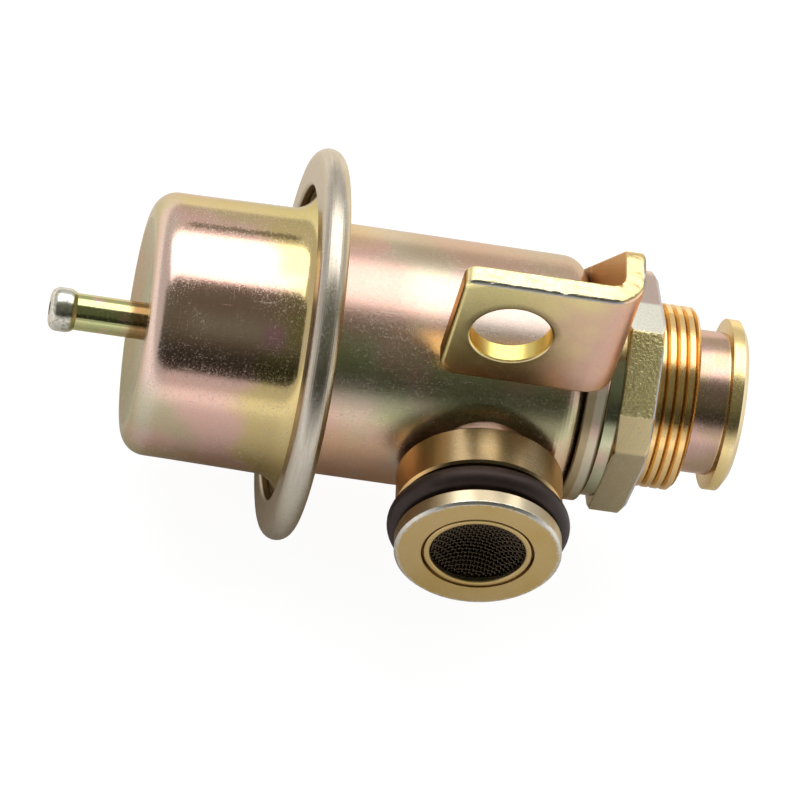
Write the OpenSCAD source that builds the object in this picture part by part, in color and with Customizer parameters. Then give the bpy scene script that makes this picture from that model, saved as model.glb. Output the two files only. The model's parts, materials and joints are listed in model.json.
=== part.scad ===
// Fuel pressure regulator: a spring can and a drawn body joined by a rolled rim,
// a side inlet with an O-ring and a screen, a threaded outlet and a vacuum nipple.
// All sizes are in millimetres.
// The origin is the centre of the inlet port's end face and the port points along -Y.
// The main axis runs along +X, from the nipple to the outlet; X is 0 at the port axis.

/* [Inlet port] */
// Distance from the main axis to the port's end face
port_reach = 29.35; // [28:0.05:34]
// Outside diameter of the port
port_d = 21.1; // [20:0.1:23]
// Bore of the port behind the screen
port_bore_d = 11.2; // [8:0.1:11.6]
// Length of the land in front of the O-ring groove
port_land = 2.1; // [1.5:0.1:3]
// Width of the O-ring groove
groove_w = 4.45; // [3.5:0.05:5]
// Depth of the O-ring groove
groove_depth = 2.15; // [1.8:0.05:2.6]
// Length of the barrel behind the groove
barrel_len = 5.5; // [3:0.1:5.8]
// How much thinner the neck is than the barrel, on the radius
neck_step = 2.85; // [2:0.05:3.2]
// How much thinner the spigot in the body's wall is than the neck, on the radius
spigot_step = 1.2; // [0.8:0.1:1.3]
// Width of the worn chamfer on the port's edges
port_chamfer = 0.3; // [0.1:0.05:0.5]
// Thickness of the O-ring's cord
o_ring_cord = 3.1; // [2.6:0.05:3.4]

/* [Inlet screen] */
// Clear diameter inside the screen's ring
ring_bore_d = 12.1; // [11:0.1:12.6]
// Wall of the screen's ring
ring_wall = 1.05; // [0.6:0.05:1.3]
// Length of the screen's ring
ring_len = 0.9; // [0.8:0.1:4]
// Width of the groove round the ring at the end face
ring_seam = 0.28; // [0.1:0.02:0.4]
// Depth of the groove round the ring at the end face
seam_depth = 0.5; // [0.3:0.1:0.7]
// Thickness of the woven screen
screen_t = 0.4; // [0.2:0.05:0.6]
// How far the screen is dished into the port
screen_dish = 2.4; // [1:0.1:3]

/* [Body shell] */
// Outside diameter of the body
body_d = 32.3; // [31:0.1:33]
// Sheet thickness of the body
body_t = 1.2; // [0.9:0.05:1.3]
// Port axis to the body's end face
body_end = 11.45; // [11:0.05:14]
// Radius of the shoulder at the body's end
shoulder_r = 3.2; // [2:0.1:5]
// Length of the body from its rim's near face to its end face
body_len = 33.1; // [31:0.05:37]
// Outside diameter of the rolled rim
rim_d = 50.5; // [49:0.1:54]
// Inside diameter of the rolled rim's lip
lip_d = 40.6; // [40.4:0.1:43]
// Rounding of the rolled rim's lip
lip_edge_r = 0.5; // [0.2:0.1:0.8]
// Fillet between the body and its rim
rim_fillet = 1.0; // [0.5:0.1:1.5]

/* [Spring can] */
// Outside diameter of the can at its flange
can_d = 34.3; // [34:0.1:35.5]
// Sheet thickness of the can
can_t = 0.85; // [0.7:0.05:1]
// Length of the can from its flange to the closed end
can_len = 21.5; // [19:0.1:26]
// Draft of the can's wall, on the radius
can_draft = 0.25; // [0:0.05:0.5]
// Radius of the can's closed corner
can_corner_r = 4.2; // [3:0.1:4.4]
// Fillet between the can and its flange
can_fillet = 3; // [2:0.1:3]
// Flat ring between the closed corner and the recess in the closed end
recess_land = 0.4; // [0.2:0.1:0.8]
// Depth of the recess in the closed end
recess_depth = 0.8; // [0.4:0.1:1.2]

/* [Vacuum nipple] */
// Outside diameter of the nipple's tube
nipple_d = 4.76; // [4:0.02:6]
// Bore of the nipple
nipple_bore_d = 1.8; // [1.5:0.1:2.4]
// Length of the nipple outside the can
nipple_len = 12.1; // [9:0.1:18]
// How much wider the bead that holds the hose is than the tube
bead_over = 0.9; // [0.6:0.05:1.6]
// Length of the bead
bead_len = 3.5; // [3:0.1:4.5]
// Radius of the bead's rounded tip
bead_tip_r = 1.2; // [0.6:0.1:1.4]
// Radius of the bead's shoulder towards the tube
bead_tail_r = 1.6; // [1:0.1:1.8]
// Diameter of the nipple's head inside the can
nipple_head_d = 7; // [6.8:0.1:8]
// Thickness of the nipple's head
nipple_head_t = 0.8; // [0.5:0.1:1.2]

/* [Mounting bracket] */
// Sheet thickness of the bracket
bracket_t = 2.65; // [2:0.05:3.2]
// How much wider the eye is than the hexagon across its flats
eye_over = 2.6; // [1.6:0.1:3]
// Main axis to the tab's front face
tab_front = 12.9; // [12.5:0.1:16]
// Height of the tab's lower edge above the main axis
tab_low = 14.2; // [13.5:0.1:16]
// Height of the tab from its lower to its upper edge
tab_h = 18.8; // [16:0.1:24]
// Length of the tab from the leg's outer face
tab_len = 22.7; // [18:0.1:24]
// Radius of the tab's upper corner
tab_top_r = 1.6; // [0.5:0.1:3]
// Radius of the tab's lower corner
tab_low_r = 2.6; // [0.5:0.1:4]
// Outside radius of the bend
bend_r = 4.4; // [4:0.1:6]
// Main axis to the leg's far upper corner
leg_back = 4.4; // [0:0.1:6]
// Radius of the leg's far upper corner
leg_r = 2.4; // [1:0.1:4]
// Diameter of the bolt hole
bolt_hole_d = 10.2; // [8:0.1:11]
// Bolt hole to the leg's outer face
bolt_hole_in = 15.1; // [13:0.1:16]
// Bolt hole's height above the tab's lower edge
bolt_hole_up = 9.3; // [8:0.1:11]

/* [Outlet fitting] */
// Diameter of the tail that clamps the bracket to the body
tail_d = 16; // [14:0.1:18]
// Diameter of the tail's staked head inside the body
stake_d = 18.6; // [18.2:0.1:20]
// Thickness of the tail's staked head
stake_t = 1.0; // [0.6:0.1:1.5]
// How much wider the washer face is than the hexagon across its flats
washer_over = 0.8; // [0.2:0.1:1.2]
// Thickness of the washer face
washer_t = 2; // [1:0.1:3]
// Chamfer on the washer face's edge
washer_chamfer = 0.4; // [0.2:0.1:0.8]
// Width of the hexagon across its flats
hex_af = 27.2; // [25:0.1:30]
// Length of the hexagon
hex_len = 4.6; // [4:0.1:8]
// Turn of a hexagon corner from the port axis, in degrees
hex_turn = 21; // [0:1:59]
// Chamfer on the hexagon's corners towards the thread, on the radius
hex_chamfer = 1.1; // [0.6:0.1:3]
// Chamfer on the hexagon's corners towards the washer face, on the radius
hex_back_chamfer = 0.5; // [0.2:0.1:1]
// Slope of the hexagon's chamfers, in degrees
hex_slope = 30; // [20:1:40]
// Outside diameter of the outlet thread
thread_d = 23.8; // [22.4:0.1:24.4]
// Length of the outlet thread
thread_len = 5.5; // [4:0.1:12]
// Chamfer at the ends of the thread
thread_chamfer = 0.5; // [0.2:0.1:0.7]
// Diameter of the seal groove behind the nose
nose_neck_d = 18.5; // [16:0.1:19]
// Length of the seal groove behind the nose
nose_neck_len = 4.4; // [3:0.1:6]
// Diameter of the nose
nose_d = 22.2; // [20:0.1:22.4]
// Thickness of the nose
nose_t = 2.2; // [1.8:0.1:3]
// Length of the nose's end chamfer
nose_chamfer_len = 0.7; // [0.3:0.1:1]
// Width of the nose's end chamfer, on the radius
nose_chamfer = 1.1; // [0.4:0.1:1.4]
// Bore of the outlet
outlet_bore_d = 10; // [8.8:0.1:12]

/* [Return tube and seat] */
// Outside diameter of the return tube
tube_d = 8; // [7.2:0.1:8.4]
// Wall of the return tube
tube_wall = 1; // [0.7:0.1:1.2]
// Distance from the rim's near face to the valve seat
seat_back = 8.45; // [8:0.05:10]
// Orifice of the valve seat
orifice_d = 3; // [2:0.1:3.4]
// Diameter of the seat's land
seat_land_d = 4.2; // [3.8:0.1:4.4]
// Height of the seat's land
seat_land_t = 0.6; // [0.4:0.1:0.8]
// Diameter of the seat's flange
seat_flange_d = 9; // [8.6:0.1:10]
// Thickness of the seat's flange
seat_flange_t = 2; // [1:0.1:3]
// Length of the seat's spigot in the tube
seat_spigot = 3; // [2:0.1:5]

/* [Valve and diaphragm] */
// Thickness of the diaphragm
diaphragm_t = 0.45; // [0.35:0.05:0.6]
// Radius of the middle of the diaphragm's roll
roll_mid_r = 13.3; // [13.2:0.1:13.6]
// Radius of the diaphragm's roll
roll_r = 1.4; // [1.2:0.1:1.5]
// Diameter of the plate on the fuel side
lower_plate_d = 21.6; // [18:0.1:22.4]
// Diameter of the plate that seats the spring
upper_plate_d = 22.6; // [22:0.1:22.8]
// Sheet thickness of both plates
plate_t = 0.9; // [0.6:0.1:1]
// Height of the upper plate's rim
plate_rim = 2.5; // [1:0.1:4]
// Diameter of the ball
ball_d = 7; // [6.6:0.1:7.2]
// Distance from the ball's centre to its ground flat
ball_flat = 2.6; // [2.3:0.05:2.7]
// Outside diameter of the ball's holder
holder_d = 10.8; // [10:0.1:12]
// Diameter of the holder's shank through the plates
shank_d = 5; // [4:0.1:6]
// Diameter of the shank's riveted head
rivet_d = 8.4; // [7:0.1:10]
// Thickness of the shank's riveted head
rivet_t = 1.2; // [0.8:0.1:1.6]
// Thickness of the holder's floor under the ball's spring
holder_floor = 0.55; // [0.4:0.05:0.7]
// How far the retainer's lip reaches in over the ball
retainer_lip = 0.45; // [0.3:0.05:0.6]
// Clearance round the ball in its holder, on the radius
ball_gap = 0.15; // [0.1:0.05:0.3]
// Sheet thickness of the ball's retainer
retainer_t = 0.5; // [0.4:0.05:0.6]
// Length of the retainer's skirt
retainer_skirt = 4.5; // [3:0.1:6]
// Wire of the ball's spring
ball_spring_wire = 0.5; // [0.4:0.05:0.6]
// Mean diameter of the ball's spring
ball_spring_d = 2.8; // [2.2:0.1:3.4]
// Turns of the ball's spring
ball_spring_turns = 2.5; // [2.5:0.5:3]

/* [Pressure spring] */
// Wire of the pressure spring
spring_wire = 2.1; // [1.6:0.05:2.2]
// Mean diameter of the pressure spring
spring_d = 17.8; // [16:0.1:18]
// Turns of the pressure spring, with one closed turn at each end
spring_turns = 6; // [5:0.5:7]
// Sheet thickness of the cup that centres the spring in the can
cup_t = 0.8; // [0.6:0.1:1]
// Outside diameter of the spring's cup
cup_d = 22; // [21.8:0.1:22.4]
// Height of the spring's cup
cup_h = 3.3; // [2:0.1:5]
// Hole in the spring's cup round the nipple's head
cup_hole_d = 8.4; // [8.2:0.1:10]

/* [Clearances] */
// Gap between pieces that are pressed, brazed or clamped together
fit_gap = 0.05; // [0.02:0.01:0.1]
// Gap inside the rolled rim beyond the clamped edges
rim_gap = 0.1; // [0.05:0.05:0.3]

/* [Hidden] */
$fn = 96;
eps = 0.01;
arc_steps = 10;
wire_sides = 10;
wire_steps = 24;
closed_pitch = 1.05;

body_r = body_d / 2;
can_r = can_d / 2;
rim_r = rim_d / 2;
port_r = port_d / 2;
tail_r = tail_d / 2;
thread_r = thread_d / 2;
nose_r = nose_d / 2;

// Clamped stack inside the rolled rim, from the outlet side to the nipple side
rim_right = body_end - body_len;
diaphragm_right = rim_right - body_t;
diaphragm_left = diaphragm_right - diaphragm_t;
can_flange_left = diaphragm_left - can_t;
rim_left = can_flange_left - body_t;
rim_round = (rim_right - rim_left) / 2;
clamp_r = rim_r - rim_round - rim_gap;

// Closed end of the can
can_end = diaphragm_left - can_len;
recess_floor = can_end + recess_depth;
recess_inside = recess_floor + can_t;
recess_r = can_r - can_draft - can_corner_r - recess_land;
sheet_shift = can_t * (sqrt(2) - 1);
nipple_hole_r = nipple_d / 2 + fit_gap;

// Stations of the outlet fitting along the main axis
bracket_right = body_end + bracket_t;
hex_start = bracket_right + washer_t;
hex_stop = hex_start + hex_len;
thread_stop = hex_stop + thread_len;
nose_start = thread_stop + nose_neck_len;
nose_stop = nose_start + nose_t;
hex_r = hex_af / sqrt(3);
washer_r = (hex_af + washer_over) / 2;
eye_r = (hex_af + eye_over) / 2;
tube_stop = bracket_right + fit_gap;

// Stations of the inlet port, measured from the main axis
groove_stop = port_reach - port_land;
groove_start = groove_stop - groove_w;
barrel_start = groove_start - barrel_len;
groove_r = port_r - groove_depth;
neck_r = port_r - neck_step;
ring_outer_r = ring_bore_d / 2 + ring_wall;
ring_seat_r = ring_outer_r + fit_gap;
ring_seat = port_reach - ring_len - screen_t;
spigot_r = neck_r - spigot_step;
spigot_start = sqrt(pow(body_r - body_t, 2) - pow(spigot_r, 2));

// Stations of the valve along the main axis, with the valve closed
lower_plate_right = diaphragm_right + plate_t;
upper_plate_left = diaphragm_left - plate_t;
seat_x = rim_right + seat_back;
ball_x = seat_x - ball_flat;
ball_r = ball_d / 2;
holder_bore_r = ball_r + ball_gap;
holder_r = holder_d / 2;
retainer_hole_r = ball_r - retainer_lip;
lip_x = ball_x + sqrt(pow(ball_r, 2) - pow(retainer_hole_r - fit_gap, 2));
holder_bore_floor = lower_plate_right + holder_floor;
ball_spring_stop = ball_x - sqrt(pow(ball_r, 2) - pow(ball_spring_d / 2, 2)) - fit_gap;

// Points along an arc from one angle to another
function arc(centre, r, from, to, steps = arc_steps) = [
    for (i = [0:steps])
        let (a = from + (to - from) * i / steps)
        centre + r * [cos(a), sin(a)]
];

// Points that round the corner b between its neighbours a and c
function rounded(a, b, c, r) =
    let (
        u = (a - b) / norm(a - b),
        v = (c - b) / norm(c - b),
        half = acos(u * v) / 2,
        reach = r / tan(half),
        mid = (u + v) / norm(u + v),
        centre = b + mid * r / sin(half),
        p = b + u * reach - centre,
        q = b + v * reach - centre,
        from = atan2(p[1], p[0]),
        turn = atan2(p[0] * q[1] - p[1] * q[0], p * q)
    )
    arc(centre, r, from, from + turn);

// Point where a line from p touches a circle of radius r round the origin
function tangent_point(p, r, side) =
    let (a = atan2(p[1], p[0]) + side * acos(r / norm(p)))
    r * [cos(a), sin(a)];

// Turned piece on the main axis, from a profile of [radius, x] points
module on_main_axis() {
    translate([0, port_reach, 0])
        rotate([0, 90, 0])
            children();
}

// Turned piece on the port axis, from a profile of [radius, distance] points
module on_port_axis() {
    translate([0, port_reach, 0])
        rotate([90, 0, 0])
            children();
}

module turned(profile) {
    rotate_extrude()
        polygon(profile);
}

// Round tube or washer between two stations on the axis
module sleeve(outer_r, inner_r, from, to) {
    translate([0, 0, from])
        difference() {
            cylinder(r = outer_r, h = to - from);
            translate([0, 0, -eps])
                cylinder(r = inner_r, h = to - from + 2 * eps);
        }
}

// Coil spring between two stations, with a closed turn at each end
module coil(mean_d, wire_d, turns, from, to) {
    rise = to - from - wire_d;
    closed = wire_d * closed_pitch;
    open_pitch = (rise - 2 * closed) / (turns - 2);
    rings = ceil(turns * wire_steps);
    points = [
        for (i = [0:rings])
            let (
                t = turns * i / rings,
                z = t < 1 ? closed * t
                    : t > turns - 1 ? rise - closed * (turns - t)
                    : closed + open_pitch * (t - 1)
            )
            for (k = [0:wire_sides - 1])
                let (
                    w = 360 * k / wire_sides,
                    r = mean_d / 2 + wire_d / 2 * cos(w)
                )
                [
                    r * cos(360 * t),
                    r * sin(360 * t),
                    from + wire_d / 2 + z + wire_d / 2 * sin(w)
                ]
    ];
    sides = [
        for (i = [0:rings - 1])
            for (k = [0:wire_sides - 1])
                let (
                    a = i * wire_sides + k,
                    b = i * wire_sides + (k + 1) % wire_sides
                )
                each [[a, b, b + wire_sides], [a, b + wire_sides, a + wire_sides]]
    ];
    first = [for (k = [wire_sides - 1:-1:0]) k];
    last = [for (k = [0:wire_sides - 1]) rings * wire_sides + k];
    polyhedron(points, concat(sides, [first, last]), convexity = 10);
}

// Vacuum nipple: a beaded tube with a head inside the can
module vacuum_nipple() {
    tip = recess_floor - nipple_len;
    bead_r = (nipple_d + bead_over) / 2;
    tube_r = nipple_d / 2;
    tail = [bead_r - bead_tail_r, tip + bead_len - bead_tail_r];
    tail_turn = acos((tube_r - tail[0]) / bead_tail_r);
    outside = concat(
        [[nipple_bore_d / 2, tip], [bead_r - bead_tip_r, tip]],
        arc([bead_r - bead_tip_r, tip + bead_tip_r], bead_tip_r, -90, 0),
        arc(tail, bead_tail_r, 0, tail_turn),
        [
            [tube_r, recess_inside],
            [nipple_head_d / 2, recess_inside],
            [nipple_head_d / 2, recess_inside + nipple_head_t],
            [nipple_bore_d / 2, recess_inside + nipple_head_t]
        ]
    );
    color("#b9b45a")
        on_main_axis()
            turned(outside);
}

// Spring can: a drawn cup with a recessed end and an outward flange
module spring_can() {
    end_r = can_r - can_draft;
    corner = [end_r - can_corner_r, can_end + can_corner_r];
    flare = [can_r + can_fillet, can_flange_left - can_fillet];
    outside = concat(
        [
            [nipple_hole_r, recess_floor],
            [recess_r - recess_depth, recess_floor],
            [recess_r, can_end]
        ],
        arc(corner, can_corner_r, -90, 0),
        arc(flare, can_fillet, 180, 90)
    );
    inside = concat(
        [[clamp_r, can_flange_left], [clamp_r, diaphragm_left]],
        arc(flare, can_fillet + can_t, 90, 180),
        arc(corner, can_corner_r - can_t, 0, -90),
        [
            [recess_r + sheet_shift, can_end + can_t],
            [recess_r - recess_depth + sheet_shift, recess_inside],
            [nipple_hole_r, recess_inside]
        ]
    );
    color("#c9b184")
        on_main_axis()
            turned(concat(outside, inside));
}

// Cup that centres the pressure spring on the can's closed end
module spring_cup() {
    color("#8f9094")
        on_main_axis()
            turned([
                [cup_hole_d / 2, recess_inside],
                [cup_d / 2, recess_inside],
                [cup_d / 2, recess_inside + cup_h],
                [cup_d / 2 - cup_t, recess_inside + cup_h],
                [cup_d / 2 - cup_t, recess_inside + cup_t],
                [cup_hole_d / 2, recess_inside + cup_t]
            ]);
}

// Spring that sets the fuel pressure
module pressure_spring() {
    color("#77797d")
        on_main_axis()
            coil(spring_d, spring_wire, spring_turns,
                recess_inside + cup_t + fit_gap, upper_plate_left - fit_gap);
}

// Plate on the spring side of the diaphragm, with a rim that holds the spring
module upper_plate() {
    outer_r = upper_plate_d / 2;
    color("#a3a4a8")
        on_main_axis()
            turned([
                [shank_d / 2 + fit_gap, diaphragm_left],
                [outer_r, diaphragm_left],
                [outer_r, upper_plate_left - plate_rim],
                [outer_r - plate_t, upper_plate_left - plate_rim],
                [outer_r - plate_t, upper_plate_left],
                [shank_d / 2 + fit_gap, upper_plate_left]
            ]);
}

// Diaphragm: a thin disc with one roll, clamped in the rim and between the plates
module diaphragm() {
    hole_r = shank_d / 2 + fit_gap;
    crown = [roll_mid_r, diaphragm_left];
    half_t = diaphragm_t / 2;
    left_side = concat(
        [[hole_r, diaphragm_left]],
        arc(crown, roll_r + half_t, 180, 360, 2 * arc_steps),
        [[clamp_r, diaphragm_left]]
    );
    right_side = concat(
        [[clamp_r, diaphragm_right], [roll_mid_r + roll_r - half_t, diaphragm_right]],
        arc(crown, roll_r - half_t, 360, 180, 2 * arc_steps),
        [[roll_mid_r - roll_r + half_t, diaphragm_right], [hole_r, diaphragm_right]]
    );
    color("#2c2624")
        on_main_axis()
            turned(concat(left_side, right_side));
}

// Plate on the fuel side of the diaphragm
module lower_plate() {
    color("#a3a4a8")
        on_main_axis()
            sleeve(lower_plate_d / 2, shank_d / 2 + fit_gap, diaphragm_right, lower_plate_right);
}

// Holder of the ball: a turned cup whose shank is riveted through both plates
module valve_holder() {
    color("#b7a46a")
        on_main_axis()
            turned([
                [0, upper_plate_left - rivet_t],
                [rivet_d / 2, upper_plate_left - rivet_t],
                [rivet_d / 2, upper_plate_left],
                [shank_d / 2, upper_plate_left],
                [shank_d / 2, lower_plate_right],
                [holder_r, lower_plate_right],
                [holder_r, lip_x - fit_gap],
                [holder_bore_r, lip_x - fit_gap],
                [holder_bore_r, holder_bore_floor],
                [0, holder_bore_floor]
            ]);
}

// Small spring that keeps the ball against its retainer
module ball_spring() {
    color("#77797d")
        on_main_axis()
            coil(ball_spring_d, ball_spring_wire, ball_spring_turns,
                holder_bore_floor + fit_gap, ball_spring_stop);
}

// Ball with a ground flat that closes the seat
module valve_ball() {
    color("#c9cacc")
        on_main_axis()
            difference() {
                translate([0, 0, ball_x])
                    sphere(r = ball_r);
                translate([0, 0, seat_x])
                    cylinder(r = ball_d, h = ball_d);
            }
}

// Cap crimped over the holder that keeps the ball in
module ball_retainer() {
    inner_r = holder_r + fit_gap;
    color("#a3a4a8")
        on_main_axis()
            turned([
                [retainer_hole_r, lip_x],
                [inner_r, lip_x],
                [inner_r, lip_x - retainer_skirt],
                [inner_r + retainer_t, lip_x - retainer_skirt],
                [inner_r + retainer_t, lip_x + retainer_t],
                [retainer_hole_r, lip_x + retainer_t]
            ]);
}

// Seat pressed into the end of the return tube
module valve_seat() {
    flange_left = seat_x + seat_land_t;
    flange_right = flange_left + seat_flange_t;
    spigot = tube_d / 2 - tube_wall - fit_gap;
    color("#c2a24c")
        on_main_axis()
            turned([
                [orifice_d / 2, seat_x],
                [seat_land_d / 2, seat_x],
                [seat_land_d / 2, flange_left],
                [seat_flange_d / 2, flange_left],
                [seat_flange_d / 2, flange_right],
                [spigot, flange_right],
                [spigot, flange_right + seat_spigot],
                [orifice_d / 2, flange_right + seat_spigot]
            ]);
}

// Tube that carries fuel from the seat to the outlet
module return_tube() {
    from = seat_x + seat_land_t + seat_flange_t;
    color("#b9b45a")
        on_main_axis()
            sleeve(tube_d / 2, tube_d / 2 - tube_wall, from, tube_stop);
}

// Body: a drawn shell whose rim is rolled over the can's flange
module body_shell() {
    rim_centre = [rim_r - rim_round, (rim_left + rim_right) / 2];
    lip_centre = [lip_d / 2 + lip_edge_r, rim_left + lip_edge_r];
    flare = [body_r + rim_fillet, rim_right + rim_fillet];
    shoulder = [body_r - shoulder_r, body_end - shoulder_r];
    hole_r = tail_r + fit_gap;
    outside = concat(
        arc(lip_centre, lip_edge_r, 180, 270),
        arc(rim_centre, rim_round, -90, 90, 2 * arc_steps),
        arc(flare, rim_fillet, 270, 180),
        arc(shoulder, shoulder_r, 0, 90),
        [[hole_r, body_end]]
    );
    inside = concat(
        [[hole_r, body_end - body_t]],
        arc(shoulder, shoulder_r - body_t, 90, 0),
        arc(flare, rim_fillet + body_t, 180, 270),
        arc(rim_centre, rim_round - body_t, 90, -90, 2 * arc_steps),
        [[lip_d / 2, rim_left + body_t]]
    );
    color("#c7ab80")
        difference() {
            on_main_axis()
                turned(concat(outside, inside));
            on_port_axis()
                cylinder(r = spigot_r + fit_gap, h = port_reach);
        }
}

// Inlet port: a turned spigot brazed into the body's side
module inlet_port() {
    bore_r = port_bore_d / 2;
    c = port_chamfer;
    color("#b99a5a")
        on_port_axis() {
            difference() {
                turned([
                    [bore_r, body_r / 2],
                    [neck_r, body_r / 2],
                    [neck_r, barrel_start],
                    [port_r - c, barrel_start],
                    [port_r, barrel_start + c],
                    [port_r, groove_start - c],
                    [port_r - c, groove_start],
                    [groove_r, groove_start],
                    [groove_r, groove_stop],
                    [port_r, groove_stop],
                    [port_r, port_reach - c],
                    [port_r - c, port_reach],
                    [ring_seat_r, port_reach],
                    [ring_seat_r, ring_seat],
                    [bore_r, ring_seat]
                ]);
                rotate([0, 90, 0])
                    cylinder(r = body_r + fit_gap, h = 2 * port_d, center = true);
            }
            sleeve(spigot_r, bore_r, spigot_start, body_r + eps);
        }
}

// O-ring in the port's groove
module inlet_o_ring() {
    color("#26221f")
        on_port_axis()
            translate([0, 0, (groove_start + groove_stop) / 2])
                rotate_extrude()
                    translate([groove_r + fit_gap + o_ring_cord / 2, 0])
                        circle(d = o_ring_cord);
}

// Ring that holds the screen in the port, with a fine groove round its face
module screen_ring() {
    color("#c4a866")
        on_port_axis()
            turned([
                [ring_bore_d / 2, ring_seat + screen_t],
                [ring_outer_r, ring_seat + screen_t],
                [ring_outer_r, port_reach - seam_depth],
                [ring_outer_r - ring_seam, port_reach - seam_depth],
                [ring_outer_r - ring_seam, port_reach],
                [ring_bore_d / 2, port_reach]
            ]);
}

// Woven screen: a thin dish clamped behind its ring
module inlet_screen() {
    rim_in = port_bore_d / 2 - 2 * fit_gap;
    dish_r = (pow(rim_in, 2) + pow(screen_dish, 2)) / (2 * screen_dish);
    half = asin(rim_in / dish_r);
    outer = arc([0, ring_seat - screen_dish + dish_r], dish_r, -90, half - 90);
    inner = arc([0, ring_seat - screen_dish + dish_r + screen_t], dish_r, half - 90, -90);
    rim = [
        [ring_outer_r - fit_gap, ring_seat],
        [ring_outer_r - fit_gap, ring_seat + screen_t]
    ];
    color("#3d3226")
        on_port_axis()
            turned(concat(outer, rim, inner));
}

// Outline of the bracket's leg, as [along the port axis, up] points
function leg_outline() =
    let (
        front = tab_front - bend_r,
        top = tab_low + tab_h,
        back = [leg_back, top],
        low = [front, tab_low],
        eye_back = tangent_point(back, eye_r, 1),
        eye_low = tangent_point(low, eye_r, -1)
    )
    concat(
        [[0, 0], eye_low, low, [front, top]],
        rounded([front, top], back, eye_back, leg_r),
        [eye_back]
    );

// Bracket: an eye round the outlet fitting, a leg and a tab bent forward
module mounting_bracket() {
    leg_left = bracket_right - bracket_t;
    tab_left = bracket_right - tab_len;
    bend_x = bracket_right - bend_r;
    front_y = port_reach - tab_front;
    top = tab_low + tab_h;
    tab_outline = concat(
        [[bend_x, tab_low], [bend_x, top]],
        rounded([bend_x, top], [tab_left, top], [tab_left, tab_low], tab_top_r),
        rounded([tab_left, top], [tab_left, tab_low], [bend_x, tab_low], tab_low_r)
    );
    color("#c9a982")
        difference() {
            union() {
                translate([leg_left, port_reach, 0])
                    rotate([90, 0, 90])
                        linear_extrude(bracket_t)
                            mirror([1, 0])
                                union() {
                                    polygon(leg_outline());
                                    circle(r = eye_r);
                                }
                translate([bend_x, front_y + bend_r, tab_low])
                    rotate([0, 0, -90])
                        rotate_extrude(angle = 90)
                            translate([bend_r - bracket_t, 0])
                                square([bracket_t, tab_h]);
                translate([0, front_y + bracket_t, 0])
                    rotate([90, 0, 0])
                        linear_extrude(bracket_t)
                            polygon(tab_outline);
            }
            on_main_axis()
                translate([0, 0, leg_left - eps])
                    cylinder(r = tail_r + fit_gap, h = bracket_t + 2 * eps);
            translate([bracket_right - bolt_hole_in, front_y - eps, tab_low + bolt_hole_up])
                rotate([-90, 0, 0])
                    cylinder(d = bolt_hole_d, h = bracket_t + 2 * eps);
        }
}

// Outlet fitting: one turned piece with a staked tail, hexagon, thread and nose
module outlet_fitting() {
    stake_left = body_end - body_t - stake_t;
    bore_r = outlet_bore_d / 2;
    tube_r = tube_d / 2 + fit_gap;
    thread_root_r = thread_r - thread_chamfer;
    neck = nose_neck_d / 2;
    color("#b59a55")
        on_main_axis() {
            turned([
                [tube_r, stake_left],
                [stake_d / 2, stake_left],
                [stake_d / 2, body_end - body_t],
                [tail_r, body_end - body_t],
                [tail_r, bracket_right],
                [washer_r - washer_chamfer, bracket_right],
                [washer_r, bracket_right + washer_chamfer],
                [washer_r, hex_start + eps],
                [thread_root_r, hex_start + eps],
                [thread_root_r, hex_stop],
                [thread_r, hex_stop + thread_chamfer],
                [thread_r, thread_stop - thread_chamfer],
                [thread_root_r, thread_stop],
                [neck, thread_stop],
                [neck, nose_start],
                [nose_r, nose_start],
                [nose_r, nose_stop - nose_chamfer_len],
                [nose_r - nose_chamfer, nose_stop],
                [bore_r, nose_stop],
                [bore_r, tube_stop],
                [tube_r, tube_stop]
            ]);
            intersection() {
                translate([0, 0, hex_start])
                    difference() {
                        rotate([0, 0, -90 - hex_turn])
                            cylinder(r = hex_r, h = hex_len, $fn = 6);
                        translate([0, 0, -eps])
                            cylinder(r = bore_r + eps, h = hex_len + 2 * eps);
                    }
                turned([
                    [0, hex_start],
                    [hex_r - hex_back_chamfer, hex_start],
                    [hex_r, hex_start + hex_back_chamfer * tan(hex_slope)],
                    [hex_r, hex_stop - hex_chamfer * tan(hex_slope)],
                    [hex_r - hex_chamfer, hex_stop],
                    [0, hex_stop]
                ]);
            }
        }
}

vacuum_nipple();
spring_can();
spring_cup();
pressure_spring();
upper_plate();
diaphragm();
lower_plate();
valve_holder();
ball_spring();
valve_ball();
ball_retainer();
valve_seat();
return_tube();
body_shell();
inlet_port();
inlet_o_ring();
screen_ring();
inlet_screen();
mounting_bracket();
outlet_fitting();
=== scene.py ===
"""Looks of a plated steel fuel pressure regulator, as an add-on that is run as a script."""

import json
import math
from contextlib import contextmanager

import bmesh
import bpy
from bpy.props import FloatProperty, FloatVectorProperty, PointerProperty
from mathutils import Matrix, Vector, noise


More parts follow.
